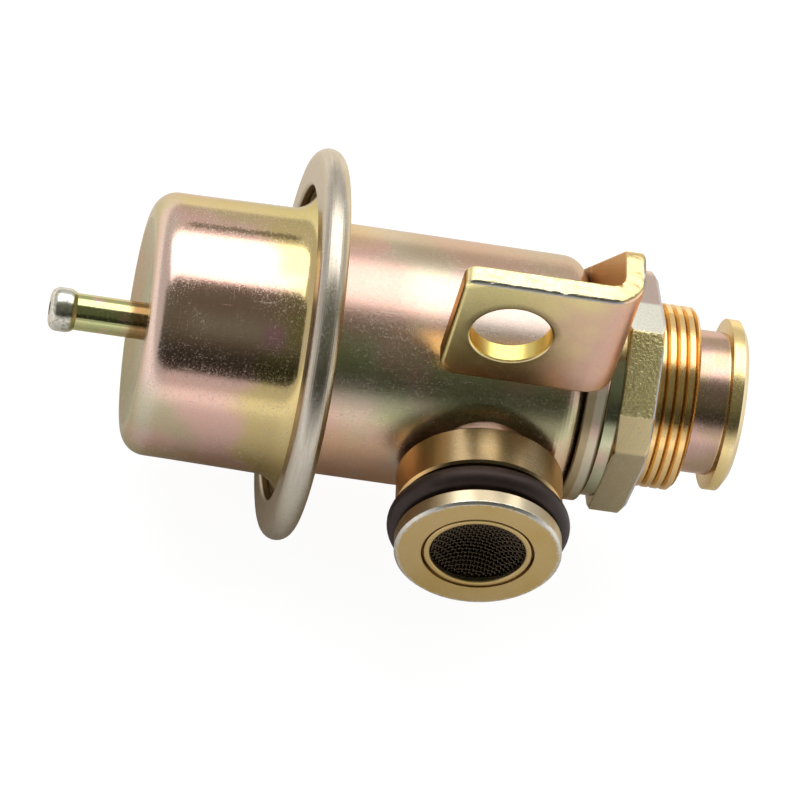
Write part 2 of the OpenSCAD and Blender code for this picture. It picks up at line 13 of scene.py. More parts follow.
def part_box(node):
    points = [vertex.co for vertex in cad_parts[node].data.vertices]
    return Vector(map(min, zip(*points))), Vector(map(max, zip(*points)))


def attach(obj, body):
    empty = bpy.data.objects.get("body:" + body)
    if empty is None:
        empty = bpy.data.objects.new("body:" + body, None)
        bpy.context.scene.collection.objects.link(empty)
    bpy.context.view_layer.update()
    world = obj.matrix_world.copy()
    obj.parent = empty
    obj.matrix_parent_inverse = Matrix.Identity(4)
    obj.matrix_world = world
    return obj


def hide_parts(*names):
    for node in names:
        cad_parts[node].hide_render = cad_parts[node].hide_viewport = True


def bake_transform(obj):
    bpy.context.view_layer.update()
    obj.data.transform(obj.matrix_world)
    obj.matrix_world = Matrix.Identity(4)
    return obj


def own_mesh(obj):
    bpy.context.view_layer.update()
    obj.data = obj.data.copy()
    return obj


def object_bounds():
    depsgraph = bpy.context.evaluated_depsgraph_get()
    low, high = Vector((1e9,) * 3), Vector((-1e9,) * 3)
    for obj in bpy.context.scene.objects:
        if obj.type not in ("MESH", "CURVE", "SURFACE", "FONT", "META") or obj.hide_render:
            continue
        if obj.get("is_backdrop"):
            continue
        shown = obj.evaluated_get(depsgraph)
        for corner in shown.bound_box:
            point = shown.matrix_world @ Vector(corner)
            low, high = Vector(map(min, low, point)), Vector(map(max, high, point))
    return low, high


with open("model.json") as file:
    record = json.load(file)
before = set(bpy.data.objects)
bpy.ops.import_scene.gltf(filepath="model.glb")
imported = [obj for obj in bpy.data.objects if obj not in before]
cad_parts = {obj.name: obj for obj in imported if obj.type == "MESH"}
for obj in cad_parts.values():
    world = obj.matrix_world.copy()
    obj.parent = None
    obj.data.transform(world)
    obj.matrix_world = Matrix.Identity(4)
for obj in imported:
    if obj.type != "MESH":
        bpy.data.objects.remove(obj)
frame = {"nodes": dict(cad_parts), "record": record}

bl_info = {
    "name": "Fuel pressure regulator looks",
    "version": (1, 0, 0),
    "blender": (4, 5, 0),
    "location": "3D View > Sidebar > Regulator",
    "description": "Dresses a plated steel fuel pressure regulator and sets its studio",
    "category": "Object",
}

MM = 0.001
HOUSING = "housing"
VALVE = "valve"

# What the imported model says, in metres
BODY_LOW, BODY_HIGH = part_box("body_shell")
SCREEN_LOW, SCREEN_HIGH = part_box("inlet_screen")
TAB_LOW, TAB_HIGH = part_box("mounting_bracket")
CAN_LOW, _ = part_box("spring_can")
NIPPLE_LOW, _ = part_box("vacuum_nipple")
AXIS_Y = (BODY_LOW.y + BODY_HIGH.y) / 2
CROSSING = Vector((0, AXIS_Y, 0))
MOUNTS = {mount["name"]: mount for mount in frame["record"]["mounts"]}
THREAD = MOUNTS["outlet_thread"]
BOLT_HOLE = MOUNTS["bolt_hole"]
BOLT_AT = Vector(BOLT_HOLE["pos_m"])
BOLT_R = BOLT_HOLE["dims"]["r_mm"] * MM

# Sizes of the solids that the shapes here start from
TAB_FRONT = BOLT_HOLE["pos_m"][1] - BOLT_HOLE["dims"]["length_mm"] * MM / 2
TAB_FOOT = 12.0 * MM
LEG_LOW = 15.0 * MM
BEND = 4.0 * MM
SOLID_CORNER = 4.2 * MM
CORNER_WALL = 16.9 * MM
RECESS_EDGE = 0.5 * MM
BEAD_BACK = (1.6 * MM, 3.2 * MM)
ROLL_MID = 13.3 * MM

# Sizes of what is added that a user has no need to change
RECESS_DISH = 0.62
HOLE_MARGIN = 0.2 * MM
HOLE_DEPTH = 2.0 * MM
OUTER_SKIN = 1.2 * MM
TEAR_STEP = 0.4 * MM
TEAR_SCALE = 900
WOVEN_SHARE = 0.93
STEPS_PER_WIRE = 4
THREAD_STEPS = 72
FLOOR_SIZE = 8.0
SHINE_FROM, SHINE_FULL = 30.0, 150.0
CARD_CUTS = 15

# Tolerances in metres and angles in radians, then smoothing angles in degrees
CUT = 0.001 * MM
NEAR = 0.01 * MM
ON_FACE = 0.05 * MM
MERGE = 1e-7
FLAT = math.radians(0.5)
SHARP = math.radians(40)
TURNED, DRAWN, SHEET, WIRE = 28, 32, 40, 60

# Tints of single marks, of painted shade and painted reflections, and of surfaces that are seen edge on
BLUSH = (0.85, 0.42, 0.60)
TORN_GLINT = (0.80, 0.71, 0.42)
# Painted shade along the rounded top front edge of the bracket's tab
TOP_EDGE_SHADE = (0.26, 0.27, 0.28)
# Painted reflection of the lamp on the hexagon's upper flat
LAMP_REFLECTION_FLAT = (0.95, 0.93, 0.80)
RUBBED = (0.72, 0.70, 0.74)
PLATED_EDGE = (0.84, 0.75, 0.63)
CAN_EDGE = (0.68, 0.62, 0.46)
BRACKET_EDGE = (0.8, 0.56, 0.36)
BARE_EDGE = (1, 1, 1)
RUBBER_SHEEN = (1.0, 0.78, 0.7)
CARD_TINT = (0.95, 1.0, 0.74)
WHITE = (1, 1, 1)


def tone(name, description, default):
    """A colour that a user may change."""
    return FloatVectorProperty(name=name, description=description, default=default,
                               subtype="COLOR", min=0, max=1)


def length(name, description, default):
    """A length in metres that a user may change."""
    return FloatProperty(name=name, description=description, default=default, unit="LENGTH")


def tilt(name, description, degrees):
    """An angle that a user may change."""
    return FloatProperty(name=name, description=description, default=math.radians(degrees), subtype="ANGLE")


def light(name, description, default, unit="NONE"):
    """An amount of light that a user may change."""
    return FloatProperty(name=name, description=description, default=default, unit=unit, min=0)


class FinishSettings(bpy.types.PropertyGroup):
    """Colours of the plating, rubber and wire."""

    rose: tone("Rose", "Pink tone of the yellow plating", (0.68, 0.445, 0.37))
    gold: tone("Gold", "Yellow tone of the plating", (0.60, 0.47, 0.22))
    green: tone("Green", "Green tone of the plating", (0.44, 0.46, 0.25))
    silver: tone("Silver", "Worn plating", (0.56, 0.54, 0.49))
    grey: tone("Grey", "Rolled edges where the plating is thin", (0.44, 0.385, 0.31))
    orange: tone("Orange", "Thick plating in the thread and by the brazing", (0.58, 0.37, 0.155))
    bronze: tone("Bronze", "Plating on turned pieces", (0.44, 0.31, 0.15))
    lime: tone("Lime", "Bright plating on the nipple's tube", (0.47, 0.49, 0.23))
    yellow: tone("Yellow", "Sheared edges and hole walls", (0.70, 0.55, 0.17))
    # The dirt tone also serves as painted shade in the gaps and seams between parts
    dirt_and_shade: tone("Dirt", "Dark residue in gaps and pits", (0.10, 0.075, 0.045))
    rubber: tone("Rubber", "O-ring and diaphragm", (0.012, 0.007, 0.006))
    wire: tone("Screen wire", "Woven inlet screen", (0.075, 0.055, 0.036))
    steel: tone("Bare steel", "Pressed and turned pieces inside", (0.45, 0.45, 0.46))


class DetailSettings(bpy.types.PropertyGroup):
    """Sizes of the detail that the solids leave out."""

    thread_pitch: length("Thread pitch", "Distance between the outlet thread's crests", 1.27 * MM)
    thread_depth: length("Thread depth", "Depth of the outlet thread", 0.52 * MM)
    can_corner: length("Can corner", "Radius of the can's closed corner", 3.1 * MM)
    bead_reach: length("Bead reach", "How much longer the nipple's bead is than in the solid", 0.3 * MM)
    rolled_edge: length("Rolled edge", "Rounding of the bracket's edges on the outside of its bend", 0.6 * MM)
    bracket_edge: length("Bracket edge", "Rounding of the bracket's other sheared edges", 0.25 * MM)
    hole_edge: length("Hole edge", "Rounding of the bolt hole's front edge", 0.35 * MM)
    hole_back: length("Hole back edge", "Rounding of the bolt hole's back edge", 0.1 * MM)
    torn_height: length("Torn height", "Height of the waves along the torn edge", 0.22 * MM)
    ring_edge: length("Ring edge", "Rounding of the screen ring's edges", 0.22 * MM)
    fitting_edge: length("Fitting edge", "Rounding of the outlet fitting's edges", 0.12 * MM)
    wire_pitch: length("Wire pitch", "Distance between the screen's wires", 0.46 * MM)
    wire_radius: length("Wire radius", "Radius of the screen's wires", 0.12 * MM)
    dish_radius: length("Dish radius", "Radius of the dished part of the screen", 5.4 * MM)


class StageSettings(bpy.types.PropertyGroup):
    """Camera, lights and floor."""

    azimuth: tilt("Azimuth", "Camera's turn about the vertical", -12.618)
    elevation: tilt("Elevation", "Camera's height angle", 50.861)
    roll: tilt("Roll", "Camera's turn about its view", 18.025)
    distance: length("Distance", "Camera to the crossing of the main and port axes", 800 * MM)
    offset_right: length("Offset right", "The crossing's place right of the picture's centre", 10.506 * MM)
    offset_up: length("Offset up", "The crossing's place above the picture's centre", 3.825 * MM)
    lens: FloatProperty(name="Lens", description="Focal length in millimetres", default=280.8, unit="CAMERA")
    sensor: FloatProperty(name="Sensor", description="Width in millimetres", default=36, unit="CAMERA")
    softbox_power: light("Softbox power", "Power of the large lamp above and behind", 10.5, "POWER")
    softbox_lean: tilt("Softbox lean", "How far the large lamp stands back from straight above", 28)
    softbox_width: length("Softbox width", "Size of the large lamp along the main axis", 1.6)
    softbox_depth: length("Softbox depth", "Size of the large lamp across the main axis", 0.85)
    card_width: length("Card width", "Size of the dark card along the main axis", 4.0)
    card_reach: length("Card reach", "Distance of the dark card from the main axis", 1.4)
    card_low: tilt("Card low", "Height angle of the dark card's lower edge", 13)
    card_high: tilt("Card high", "Height angle of the dark card's upper edge", 94)
    floor_glow: light("Floor glow", "Part of the floor's white that shadows don't darken", 0.93)
    floor_card: light("Floor card", "Part of the floor's white that shadows darken", 0.17)
    floor_plain: light("Floor plain", "Pale tone of the floor where it lights the object", 0.8)
    floor_shine: light("Floor shine", "Light of the floor in the metal's reflections", 0.62)
    backdrop: light("Backdrop", "Light of the world in the picture", 1.0)
    mirrored: light("Mirrored", "Light of the world in the metal's reflections", 0.8)
    fill: light("Fill", "Light of the world on the object", 0.45)


class Value:
    """A shader socket that takes part in Python expressions."""

    def __init__(self, paint, socket):
        self.paint = paint
        self.socket = socket

    def math(self, operation, first, second):
        return self.paint.node("ShaderNodeMath", {"operation": operation}, {0: first, 1: second})

    def __add__(self, other):
        return self.math("ADD", self, other)

    def __radd__(self, other):
        return self.math("ADD", other, self)

    def __sub__(self, other):
        return self.math("SUBTRACT", self, other)

    def __rsub__(self, other):
        return self.math("SUBTRACT", other, self)

    def __mul__(self, other):
        return self.math("MULTIPLY", self, other)

    def __rmul__(self, other):
        return self.math("MULTIPLY", other, self)

    def __truediv__(self, other):
        return self.math("DIVIDE", self, other)

    def __pow__(self, other):
        return self.math("POWER", self, other)


class Paint:
    """Adds shader nodes to a material or a world by expressions."""

    def __init__(self, owner, output="ShaderNodeOutputMaterial"):
        owner.use_nodes = True
        self.owner = owner
        self.tree = owner.node_tree
        self.tree.nodes.clear()
        self.output = self.tree.nodes.new(output)

    def node(self, kind, settings=None, inputs=None, output=0):
        """Adds a node, sets it, then fills its sockets with numbers, colours or links."""
        made = self.tree.nodes.new(kind)
        for name, setting in (settings or {}).items():
            setattr(made, name, setting)
        for key, value in (inputs or {}).items():
            socket = made.inputs[key]
            if isinstance(value, Value):
                self.tree.links.new(value.socket, socket)
            else:
                socket.default_value = value
        return Value(self, made.outputs[output])

    def place(self, scale=(1, 1, 1), shift=(0, 0, 0)):
        """Object coordinates in millimetres, stretched and then shifted."""
        metres = self.node("ShaderNodeTexCoord", output="Object")
        raw = self.node("ShaderNodeVectorMath", {"operation": "SCALE"}, {0: metres, "Scale": 1 / MM})
        return self.node("ShaderNodeMapping", {"vector_type": "POINT"},
                         {"Vector": raw, "Location": shift, "Scale": scale})

    def axes(self):
        """Object coordinates in millimetres, as one value per axis."""
        here = self.place()
        return [self.node("ShaderNodeSeparateXYZ", None, {0: here}, output=axis) for axis in range(3)]

    def facing(self, axis):
        """How far the surface faces along one axis, without its sign."""
        normal = self.node("ShaderNodeTexCoord", output="Normal")
        part = self.node("ShaderNodeSeparateXYZ", None, {0: normal}, output=axis)
        return self.node("ShaderNodeMath", {"operation": "ABSOLUTE"}, {0: part})

    def main_axis(self):
        """Distance along the main axis, radius from it and angle from the port towards the tab."""
        x, y, z = self.axes()
        ahead = AXIS_Y / MM - y
        return x, (ahead * ahead + z * z) ** 0.5, ahead.math("ARCTAN2", z, ahead)

    def round_axis(self, fine, around):
        """A place that is fine across the main axis's circles and slow along them."""
        x, y, z = self.axes()
        ahead = AXIS_Y / MM - y
        radius = (ahead * ahead + z * z) ** 0.5
        return self.node("ShaderNodeCombineXYZ", None,
                         {0: (x + radius) * fine, 1: ahead / radius * around, 2: z / radius * around})

    def noise(self, place, scale, detail=2.0, roughness=0.5):
        """Cloudy values around a half."""
        return self.node("ShaderNodeTexNoise", {"noise_dimensions": "3D"},
                         {"Vector": place, "Scale": scale, "Detail": detail, "Roughness": roughness})

    def step(self, value, low, high):
        """0 below low, 1 above high and smooth between."""
        return self.node("ShaderNodeMapRange", {"interpolation_type": "SMOOTHSTEP", "clamp": True},
                         {"Value": value, "From Min": low, "From Max": high})

    def below(self, value, low, high):
        """1 below low, 0 above high and smooth between."""
        return 1 - self.step(value, low, high)

    def band(self, value, low, high, soft):
        """1 between low and high, with soft edges."""
        return self.step(value, low - soft, low + soft) * self.below(value, high - soft, high + soft)

    def mix(self, factor, first, second, blend="MIX"):
        """Mixes two colours."""
        return self.node("ShaderNodeMix", {"data_type": "RGBA", "blend_type": blend},
                         {0: factor, 6: opaque(first), 7: opaque(second)}, output=2)

    def bump(self, height, strength, distance):
        """A normal that follows the height."""
        return self.node("ShaderNodeBump", None,
                         {"Height": height, "Strength": strength, "Distance": distance})

    def metal(self, colour, roughness, normal, metallic=1.0, edge=PLATED_EDGE):
        """A metal with this tint where the surface is seen edge on."""
        return self.finish({"Base Color": colour, "Metallic": metallic, "Roughness": roughness,
                            "Normal": normal, "Specular Tint": opaque(edge)})

    def finish(self, inputs):
        """Ends a material in one principled shader."""
        return self.surface(self.node("ShaderNodeBsdfPrincipled", None, inputs))

    def surface(self, shader):
        """Puts a shader on the surface and returns what it paints."""
        self.tree.links.new(shader.socket, self.output.inputs["Surface"])
        return self.owner


def new_material(name):
    """A new material to paint."""
    return Paint(bpy.data.materials.new(name))


def opaque(colour):
    """A colour with full alpha, or a link as it is."""
    return colour if isinstance(colour, Value) else (*colour[:3], 1.0)


def finish_settings():
    return bpy.context.scene.regulator_finish


def detail_settings():
    return bpy.context.scene.regulator_detail


def stage_settings():
    return bpy.context.scene.regulator_stage


def blend(first, second, share):
    """A plain mix of two colours, with this share of the second."""
    return [a + (b - a) * share for a, b in zip(first, second)]


def shade(colour, factor):
    """A colour made darker or paler."""
    return [factor * part for part in colour]


class Wear:
    """Marks that all plated pieces share: grain, pits, dust and hairline scratches."""

    def __init__(self, paint, shift=(0, 0, 0), stretch=(0.22, 4.5, 4.5)):
        here = paint.place(shift=shift)
        self.grain = paint.noise(here, 2.8, 4.0, 0.65)
        self.pits = paint.step(paint.noise(here, 3.4, 3.0, 0.6), 0.64, 0.74)
        patches = paint.step(paint.noise(here, 0.16, 2.0), 0.3, 0.56)
        specks = paint.step(paint.noise(here, 3.6, 5.0, 0.75), 0.53, 0.66)
        hairs = paint.step(paint.noise(paint.place(shift=shift, scale=stretch), 1.0, 2.0), 0.66, 0.74)
        self.dust = specks * patches * 0.6 + hairs * 0.3

    def ragged(self, amount):
        """What makes an edge ragged by this much from end to end."""
        return (self.grain - 0.5) * amount

    def over(self, paint, colour, tones, amount=1.0):
        """The colour with pits, dust and scratches over it."""
        colour = paint.mix(self.grain * (0.45 * amount), colour, tones.dirt_and_shade, "SOFT_LIGHT")
        colour = paint.mix(self.pits * (0.5 * amount), colour, tones.dirt_and_shade)
        return paint.mix(self.dust * amount, colour, tones.silver)


def clouds(paint, scale, low, high, shift=(0, 0, 0)):
    """A mask of soft patches."""
    return paint.step(paint.noise(paint.place(shift=shift), scale), low, high)


def drift(paint, first, second, scale, low, high, shift):
    """Two tones that change slowly into each other."""
    return paint.mix(clouds(paint, scale, low, high, shift), first, second)


# In the platings, places are in millimetres and angles in radians, from the port towards the tab.


def can_plating(tones):
    """Glossy plating, green by the closed corner, rose along the wall and gold by the flange and above."""
    paint = new_material("can_plating")
    x, radius, angle = paint.main_axis()
    wear = Wear(paint)
    along = x + (paint.noise(paint.place(), 0.11, 2.0) - 0.5) * 20
    colour = paint.mix(paint.step(along, -32.5, -27.0), tones.rose, tones.gold)
    by_corner = paint.below(along, -42.0, -38.0) * paint.band(angle, -2.0, 0.35, 0.15)
    colour = paint.mix(by_corner * 0.6, colour, tones.green)
    above = paint.band(angle + wear.ragged(0.4), 1.75, 2.6, 0.2)
    patches = clouds(paint, 0.14, 0.36, 0.6, (31, 7, 13))
    colour = paint.mix(above * patches * 0.75, colour, blend(tones.gold, tones.green, 0.35))
    corner = paint.below(x + wear.ragged(4), -43.4, -41.2)
    colour = paint.mix(corner * 0.35, colour, tones.silver)
    # Painted shade: the recessed end face takes darker copies of the green and rose tones
    face = paint.below(x, -43.5, -43.0) * paint.below(radius, 13.1, 13.5)
    end = drift(paint, shade(tones.green, 0.72), shade(tones.rose, 0.75), 0.13, 0.32, 0.74, (2, 8, 5))
    colour = paint.mix(face, colour, end)
    ragged = angle + wear.ragged(0.16)
    # Painted reflection edge: a dark ragged line along the upper edge of the lamp's highlight on the wall
    line = paint.band(ragged, 1.74, 1.79, 0.02) * paint.band(x, -41.0, -27.0, 0.8)
    colour = paint.mix(line * 0.75, colour, shade(tones.bronze, 0.35))
    # Painted highlight: a paler band along the can's wall where a streak of light falls
    highlight_streak = paint.band(angle, 0.84, 1.02, 0.08) * paint.band(x, -40.0, -28.0, 2.0)
    colour = paint.mix(highlight_streak * 0.5, colour, shade(blend(tones.rose, tones.silver, 0.5), 1.5))
    blush = paint.band(angle, 0.82, 1.0, 0.08) * paint.band(x, -30.6, -27.8, 0.8)
    colour = paint.mix(blush * 0.7, colour, BLUSH)
    smears = paint.step(paint.noise(paint.round_axis(2.6, 9.0), 1.0, 4.0, 0.7), 0.52, 0.74)
    colour = paint.mix(smears * 0.25, colour, tones.silver)
    # Painted shade: the flange inside the rim's lip gap takes the dark tone
    gap = paint.step(radius, 19.4, 20.0)
    colour = paint.mix(gap, wear.over(paint, colour, tones, 0.8), tones.dirt_and_shade)
    roughness = 0.08 + wear.grain * 0.12 + corner * 0.08 + wear.dust * 0.4 + gap * 0.4 + smears * 0.15
    return paint.metal(colour, roughness, paint.bump(wear.grain, 0.3, 0.02 * MM), 1 - wear.dust * 0.55,
                       edge=CAN_EDGE)


def body_plating(tones):
    """Satin plating, rose above, green in the middle and orange below, with a grey rolled rim."""
    paint = new_material("body_plating")
    x, radius, angle = paint.main_axis()
    wear = Wear(paint, shift=(17, 5, 3))
    drawn = paint.noise(paint.place(scale=(0.2, 6.0, 6.0)), 1.0, 3.0, 0.6)
    colour = drift(paint, tones.rose, blend(tones.silver, tones.gold, 0.4), 0.085, 0.44, 0.66, (12, 4, 0))
    by_rim = paint.below(x, -20.0, -13.0) * paint.band(angle, 1.9, 2.6, 0.2)
    colour = paint.mix(by_rim * 0.7, colour, tones.gold)
    middle = paint.band(angle, 0.25, 1.0, 0.2) * clouds(paint, 0.1, 0.38, 0.6)
    colour = paint.mix(middle * 0.8, colour, tones.green)
    below = paint.band(angle, -1.9, 0.22, 0.3) * clouds(paint, 0.11, 0.25, 0.5)
    colour = paint.mix(below * 0.85, colour, shade(blend(tones.orange, tones.rose, 0.4), 1.15))
    # Painted shade: a darker rose where the lamp's highlight falls on the wall, which tones the highlight down
    lit = paint.band(angle, 1.1, 1.75, 0.15) * paint.below(x, -15.0, -10.0)
    colour = paint.mix(lit * 0.85, colour, shade(tones.rose, 0.75))
    # Painted shade: the wall above the highlight is darker towards the tab
    tab_shade = paint.step(x, -18.0, -9.0) * paint.band(angle, 1.75, 2.4, 0.15)
    colour = paint.mix(tab_shade * 0.6, colour, shade(blend(tones.rose, tones.gold, 0.5), 0.7))
    # Painted shadow: the wall under the tab, seen through the bolt hole, is painted a darker grey
    under = paint.step(x, -9.0, -6.0) * paint.band(angle, 0.95, 1.7, 0.12)
    colour = paint.mix(under * 0.65, colour, shade(tones.silver, 0.75))
    rim = paint.step(radius, 17.2, 19.5)
    turns = paint.noise(paint.round_axis(2.2, 5.0), 1.0, 3.0, 0.6)
    grey = paint.mix(paint.step(x, -23.2, -21.8) * 0.6, tones.grey, tones.gold)
    low = paint.band(angle, -1.3, 0.1, 0.3)
    grey = paint.mix(low * 0.6, grey, shade(blend(tones.silver, tones.gold, 0.3), 1.35))
    crown = paint.step(radius, 24.2, 24.9) * paint.step(turns, 0.3, 0.7)
    grey = paint.mix(crown * 0.55, grey, tones.silver)
    colour = paint.mix(rim, wear.over(paint, colour, tones), wear.over(paint, grey, tones, 0.7))
    # Painted shade: the inside of the rim's rolled lip takes the dark tone
    lip = paint.below(x, -24.2, -23.9) * paint.below(radius, 20.35, 20.5)
    colour = paint.mix(lip * paint.step(x, -25.2, -24.9), colour, tones.dirt_and_shade)
    roughness = 0.2 + wear.grain * 0.1 + drawn * 0.08 + wear.dust * 0.3
    height = wear.grain + drawn * 0.6
    return paint.metal(colour, roughness, paint.bump(height, 0.18, 0.03 * MM), 1 - wear.dust * 0.6)


def nipple_plating(tones):
    """Bright lime tube with rose spots and a worn silver bead."""
    paint = new_material("nipple_plating")
    x, _, _ = paint.main_axis()
    wear = Wear(paint, shift=(5, 21, 9))
    colour = drift(paint, tones.lime, tones.gold, 0.3, 0.45, 0.7, (4, 0, 0))
    colour = drift(paint, colour, tones.rose, 0.5, 0.6, 0.74, (8, 3, 0))
    root = paint.step(x + (paint.noise(paint.place(), 0.6, 3.0) - 0.5) * 6, -48.0, -44.6)
    colour = paint.mix(root * 0.75, colour, blend(tones.rose, tones.orange, 0.6))
    colour = wear.over(paint, colour, tones, 0.8)
    bead = paint.below(x + wear.ragged(0.8), -53.7, -53.1)
    specks = paint.step(paint.noise(paint.place(shift=(1, 9, 4)), 1.9, 4.0, 0.7), 0.5, 0.68)
    colour = paint.mix(bead * 0.9, colour, paint.mix(specks * 0.7, tones.silver, tones.dirt_and_shade))
    roughness = 0.08 + wear.grain * 0.12 + bead * 0.1
    return paint.metal(colour, roughness, paint.bump(wear.grain, 0.25, 0.02 * MM), 1 - wear.dust * 0.5)


def bracket_plating(tones):
    """Satin sheet, gold-green to rose along the tab, with bright torn edges and a two-toned eye."""
    paint = new_material("bracket_plating")
    x, y, z = paint.axes()
    wear = Wear(paint, shift=(3, 40, 8))
    blotch = paint.noise(paint.place(shift=(3, 0, 40)), 0.13, 3.0)
    right = paint.step(x - z * 0.5 + (blotch - 0.5) * 26, -16.0, 2.0)
    colour = paint.mix(right, shade(blend(tones.gold, tones.green, 0.4), 1.7), shade(tones.rose, 1.15))
    low = paint.below(z + (blotch - 0.5) * 6 + x * 0.12, 15.0, 19.0) * paint.step(z, 13.0, 14.0)
    colour = paint.mix(low * 0.6, colour, shade(tones.orange, 0.75))
    inner = paint.step(y, 18.6, 20.5) * paint.step(z, 12.0, 14.0)
    colour = paint.mix(inner * 0.85, colour, shade(tones.orange, 0.95))
    colour = wear.over(paint, colour, tones, 0.9)
    across, up, hole_r = x - BOLT_AT.x / MM, z - BOLT_AT.z / MM, BOLT_R / MM
    from_hole = (across * across + up * up) ** 0.5
    hole = paint.below(from_hole, hole_r + 0.02, hole_r + 0.1) * paint.below(y, 19.2, 19.6)
    sheared = paint.step(paint.facing(2), 0.55, 0.75) * (1 - hole) * paint.step(z, 12.0, 14.0)
    rim = paint.below(from_hole + wear.ragged(0.8), hole_r + 0.2, hole_r + 1.5)
    rolled = rim * (1 - hole) * paint.below(y, 16.9, 17.1)
    # Painted shade: a dark ring on the upper half of the bolt hole's rounded front edge, with gold below
    colour = paint.mix(rolled * paint.step(up, -1.0, 2.0) * 0.75, colour, shade(tones.bronze, 0.5))
    colour = paint.mix(rolled * paint.below(up, -3.0, -1.0) * 0.6, colour, tones.gold)
    torn = paint.noise(paint.place(scale=(2.2, 1.0, 1.0)), 1.0, 4.0, 0.7)
    glints = paint.step(torn, 0.38, 0.66)
    edge = paint.mix(glints * 0.8, blend(tones.yellow, tones.silver, 0.3), TORN_GLINT)
    by_leg = paint.step(x, 8.5, 12.5) * paint.step(torn, 0.35, 0.6)
    edge = paint.mix(by_leg * 0.7, edge, shade(tones.orange, 0.8))
    colour = paint.mix(sheared, colour, edge)
    # Painted shade: a dark grey band over the rounded top edge of the tab's front and of the leg's outside
    top = paint.step(z + (torn - 0.5) * 0.2, TAB_HIGH.z / MM - 0.62, TAB_HIGH.z / MM - 0.45)
    ragged = (torn - 0.5) * 0.5
    front = 1 - paint.step(y + ragged, 16.75, 16.95) * paint.below(x + ragged, 13.65, 13.8)
    colour = paint.mix(front * top * 0.85, colour, TOP_EDGE_SHADE)
    colour = paint.mix(hole, colour, tones.yellow)
    side = paint.below(x, -8.4, -8.1) * paint.step(paint.facing(0), 0.7, 0.9)
    colour = paint.mix(side * 0.85, colour, shade(tones.orange, 0.45))
    eye = paint.below(z, 11.0, 13.0)
    burnished = paint.step(x + wear.ragged(0.3), 12.6, 12.8)
    dull = shade(blend(tones.bronze, tones.green, 0.4), 0.75)
    colour = paint.mix(eye * (1 - burnished) * 0.85, colour, dull)
    pale = drift(paint, blend(tones.green, tones.silver, 0.4), tones.rose, 0.12, 0.5, 0.75, (6, 2, 9))
    colour = paint.mix(eye * burnished * 0.85, colour, pale)
    # Painted shade: a dark line on the eye where it meets the washer
    colour = paint.mix(eye * paint.step(x, 13.7, 13.95) * 0.85, colour, tones.dirt_and_shade)
    roughness = 0.22 + wear.grain * 0.16 + sheared * 0.06 + eye * 0.06
    height = wear.grain + sheared * torn * 2.5
    return paint.metal(colour, roughness, paint.bump(height, 0.4, 0.04 * MM), 1 - wear.dust * 0.5,
                       edge=BRACKET_EDGE)


def port_plating(tones):
    """Turned bronze barrel, gold land and end face, with a worn silver edge and a rose neck."""
    paint = new_material("port_plating")
    x, y, z = paint.axes()
    wear = Wear(paint, shift=(9, 2, 30), stretch=(0.4, 6.0, 0.4))
    rings = paint.noise(paint.place(scale=(0.12, 7.0, 0.12)), 1.0, 3.0, 0.6)
    colour = drift(paint, tones.bronze, blend(tones.gold, tones.orange, 0.5), 0.12, 0.42, 0.65, (6, 0, 2))
    colour = paint.mix(paint.step(rings, 0.5, 0.72) * 0.3, colour, tones.silver)
    colour = paint.mix(0.45, colour, tones.dirt_and_shade)
    sides = 1 - paint.band(x, -7.0, 8.0, 2.0)
    colour = paint.mix(sides * 0.85, colour, shade(tones.orange, 1.35))
    land = paint.below(y, 2.0, 2.3)
    colour = paint.mix(land * 0.85, colour, blend(tones.gold, tones.silver, 0.5))
    face = paint.below(y, 0.05, 0.3)
    deep = shade(blend(tones.yellow, tones.orange, 0.6), 0.9)
    pale = drift(paint, blend(tones.gold, tones.orange, 0.35), deep, 0.11, 0.42, 0.68, (20, 0, 11))
    colour = paint.mix(face, colour, pale)
    # Painted shade: the neck behind the barrel takes a darker rose
    neck = paint.step(y, 11.8, 12.1)
    colour = paint.mix(neck * 0.8, colour, shade(tones.rose, 0.55))
    radius = (x * x + z * z) ** 0.5
    seam = paint.band(radius, 6.85, 7.3, 0.06) * paint.step(y, 0.02, 0.12)
    colour = paint.mix(seam * 0.8, colour, shade(tones.orange, 0.7))
    worn = paint.band(radius + wear.ragged(1.3), 10.1, 10.6, 0.2) * paint.band(y, -0.1, 0.45, 0.05)
    colour = paint.mix(worn, wear.over(paint, colour, tones, 0.5), shade(tones.silver, 1.15))
    roughness = 0.26 + wear.grain * 0.1 + face * 0.08
    height = rings * (1 - face) + wear.grain * 0.3
    return paint.metal(colour, roughness, paint.bump(height, 0.3, 0.03 * MM), 1 - wear.dust * 0.5)


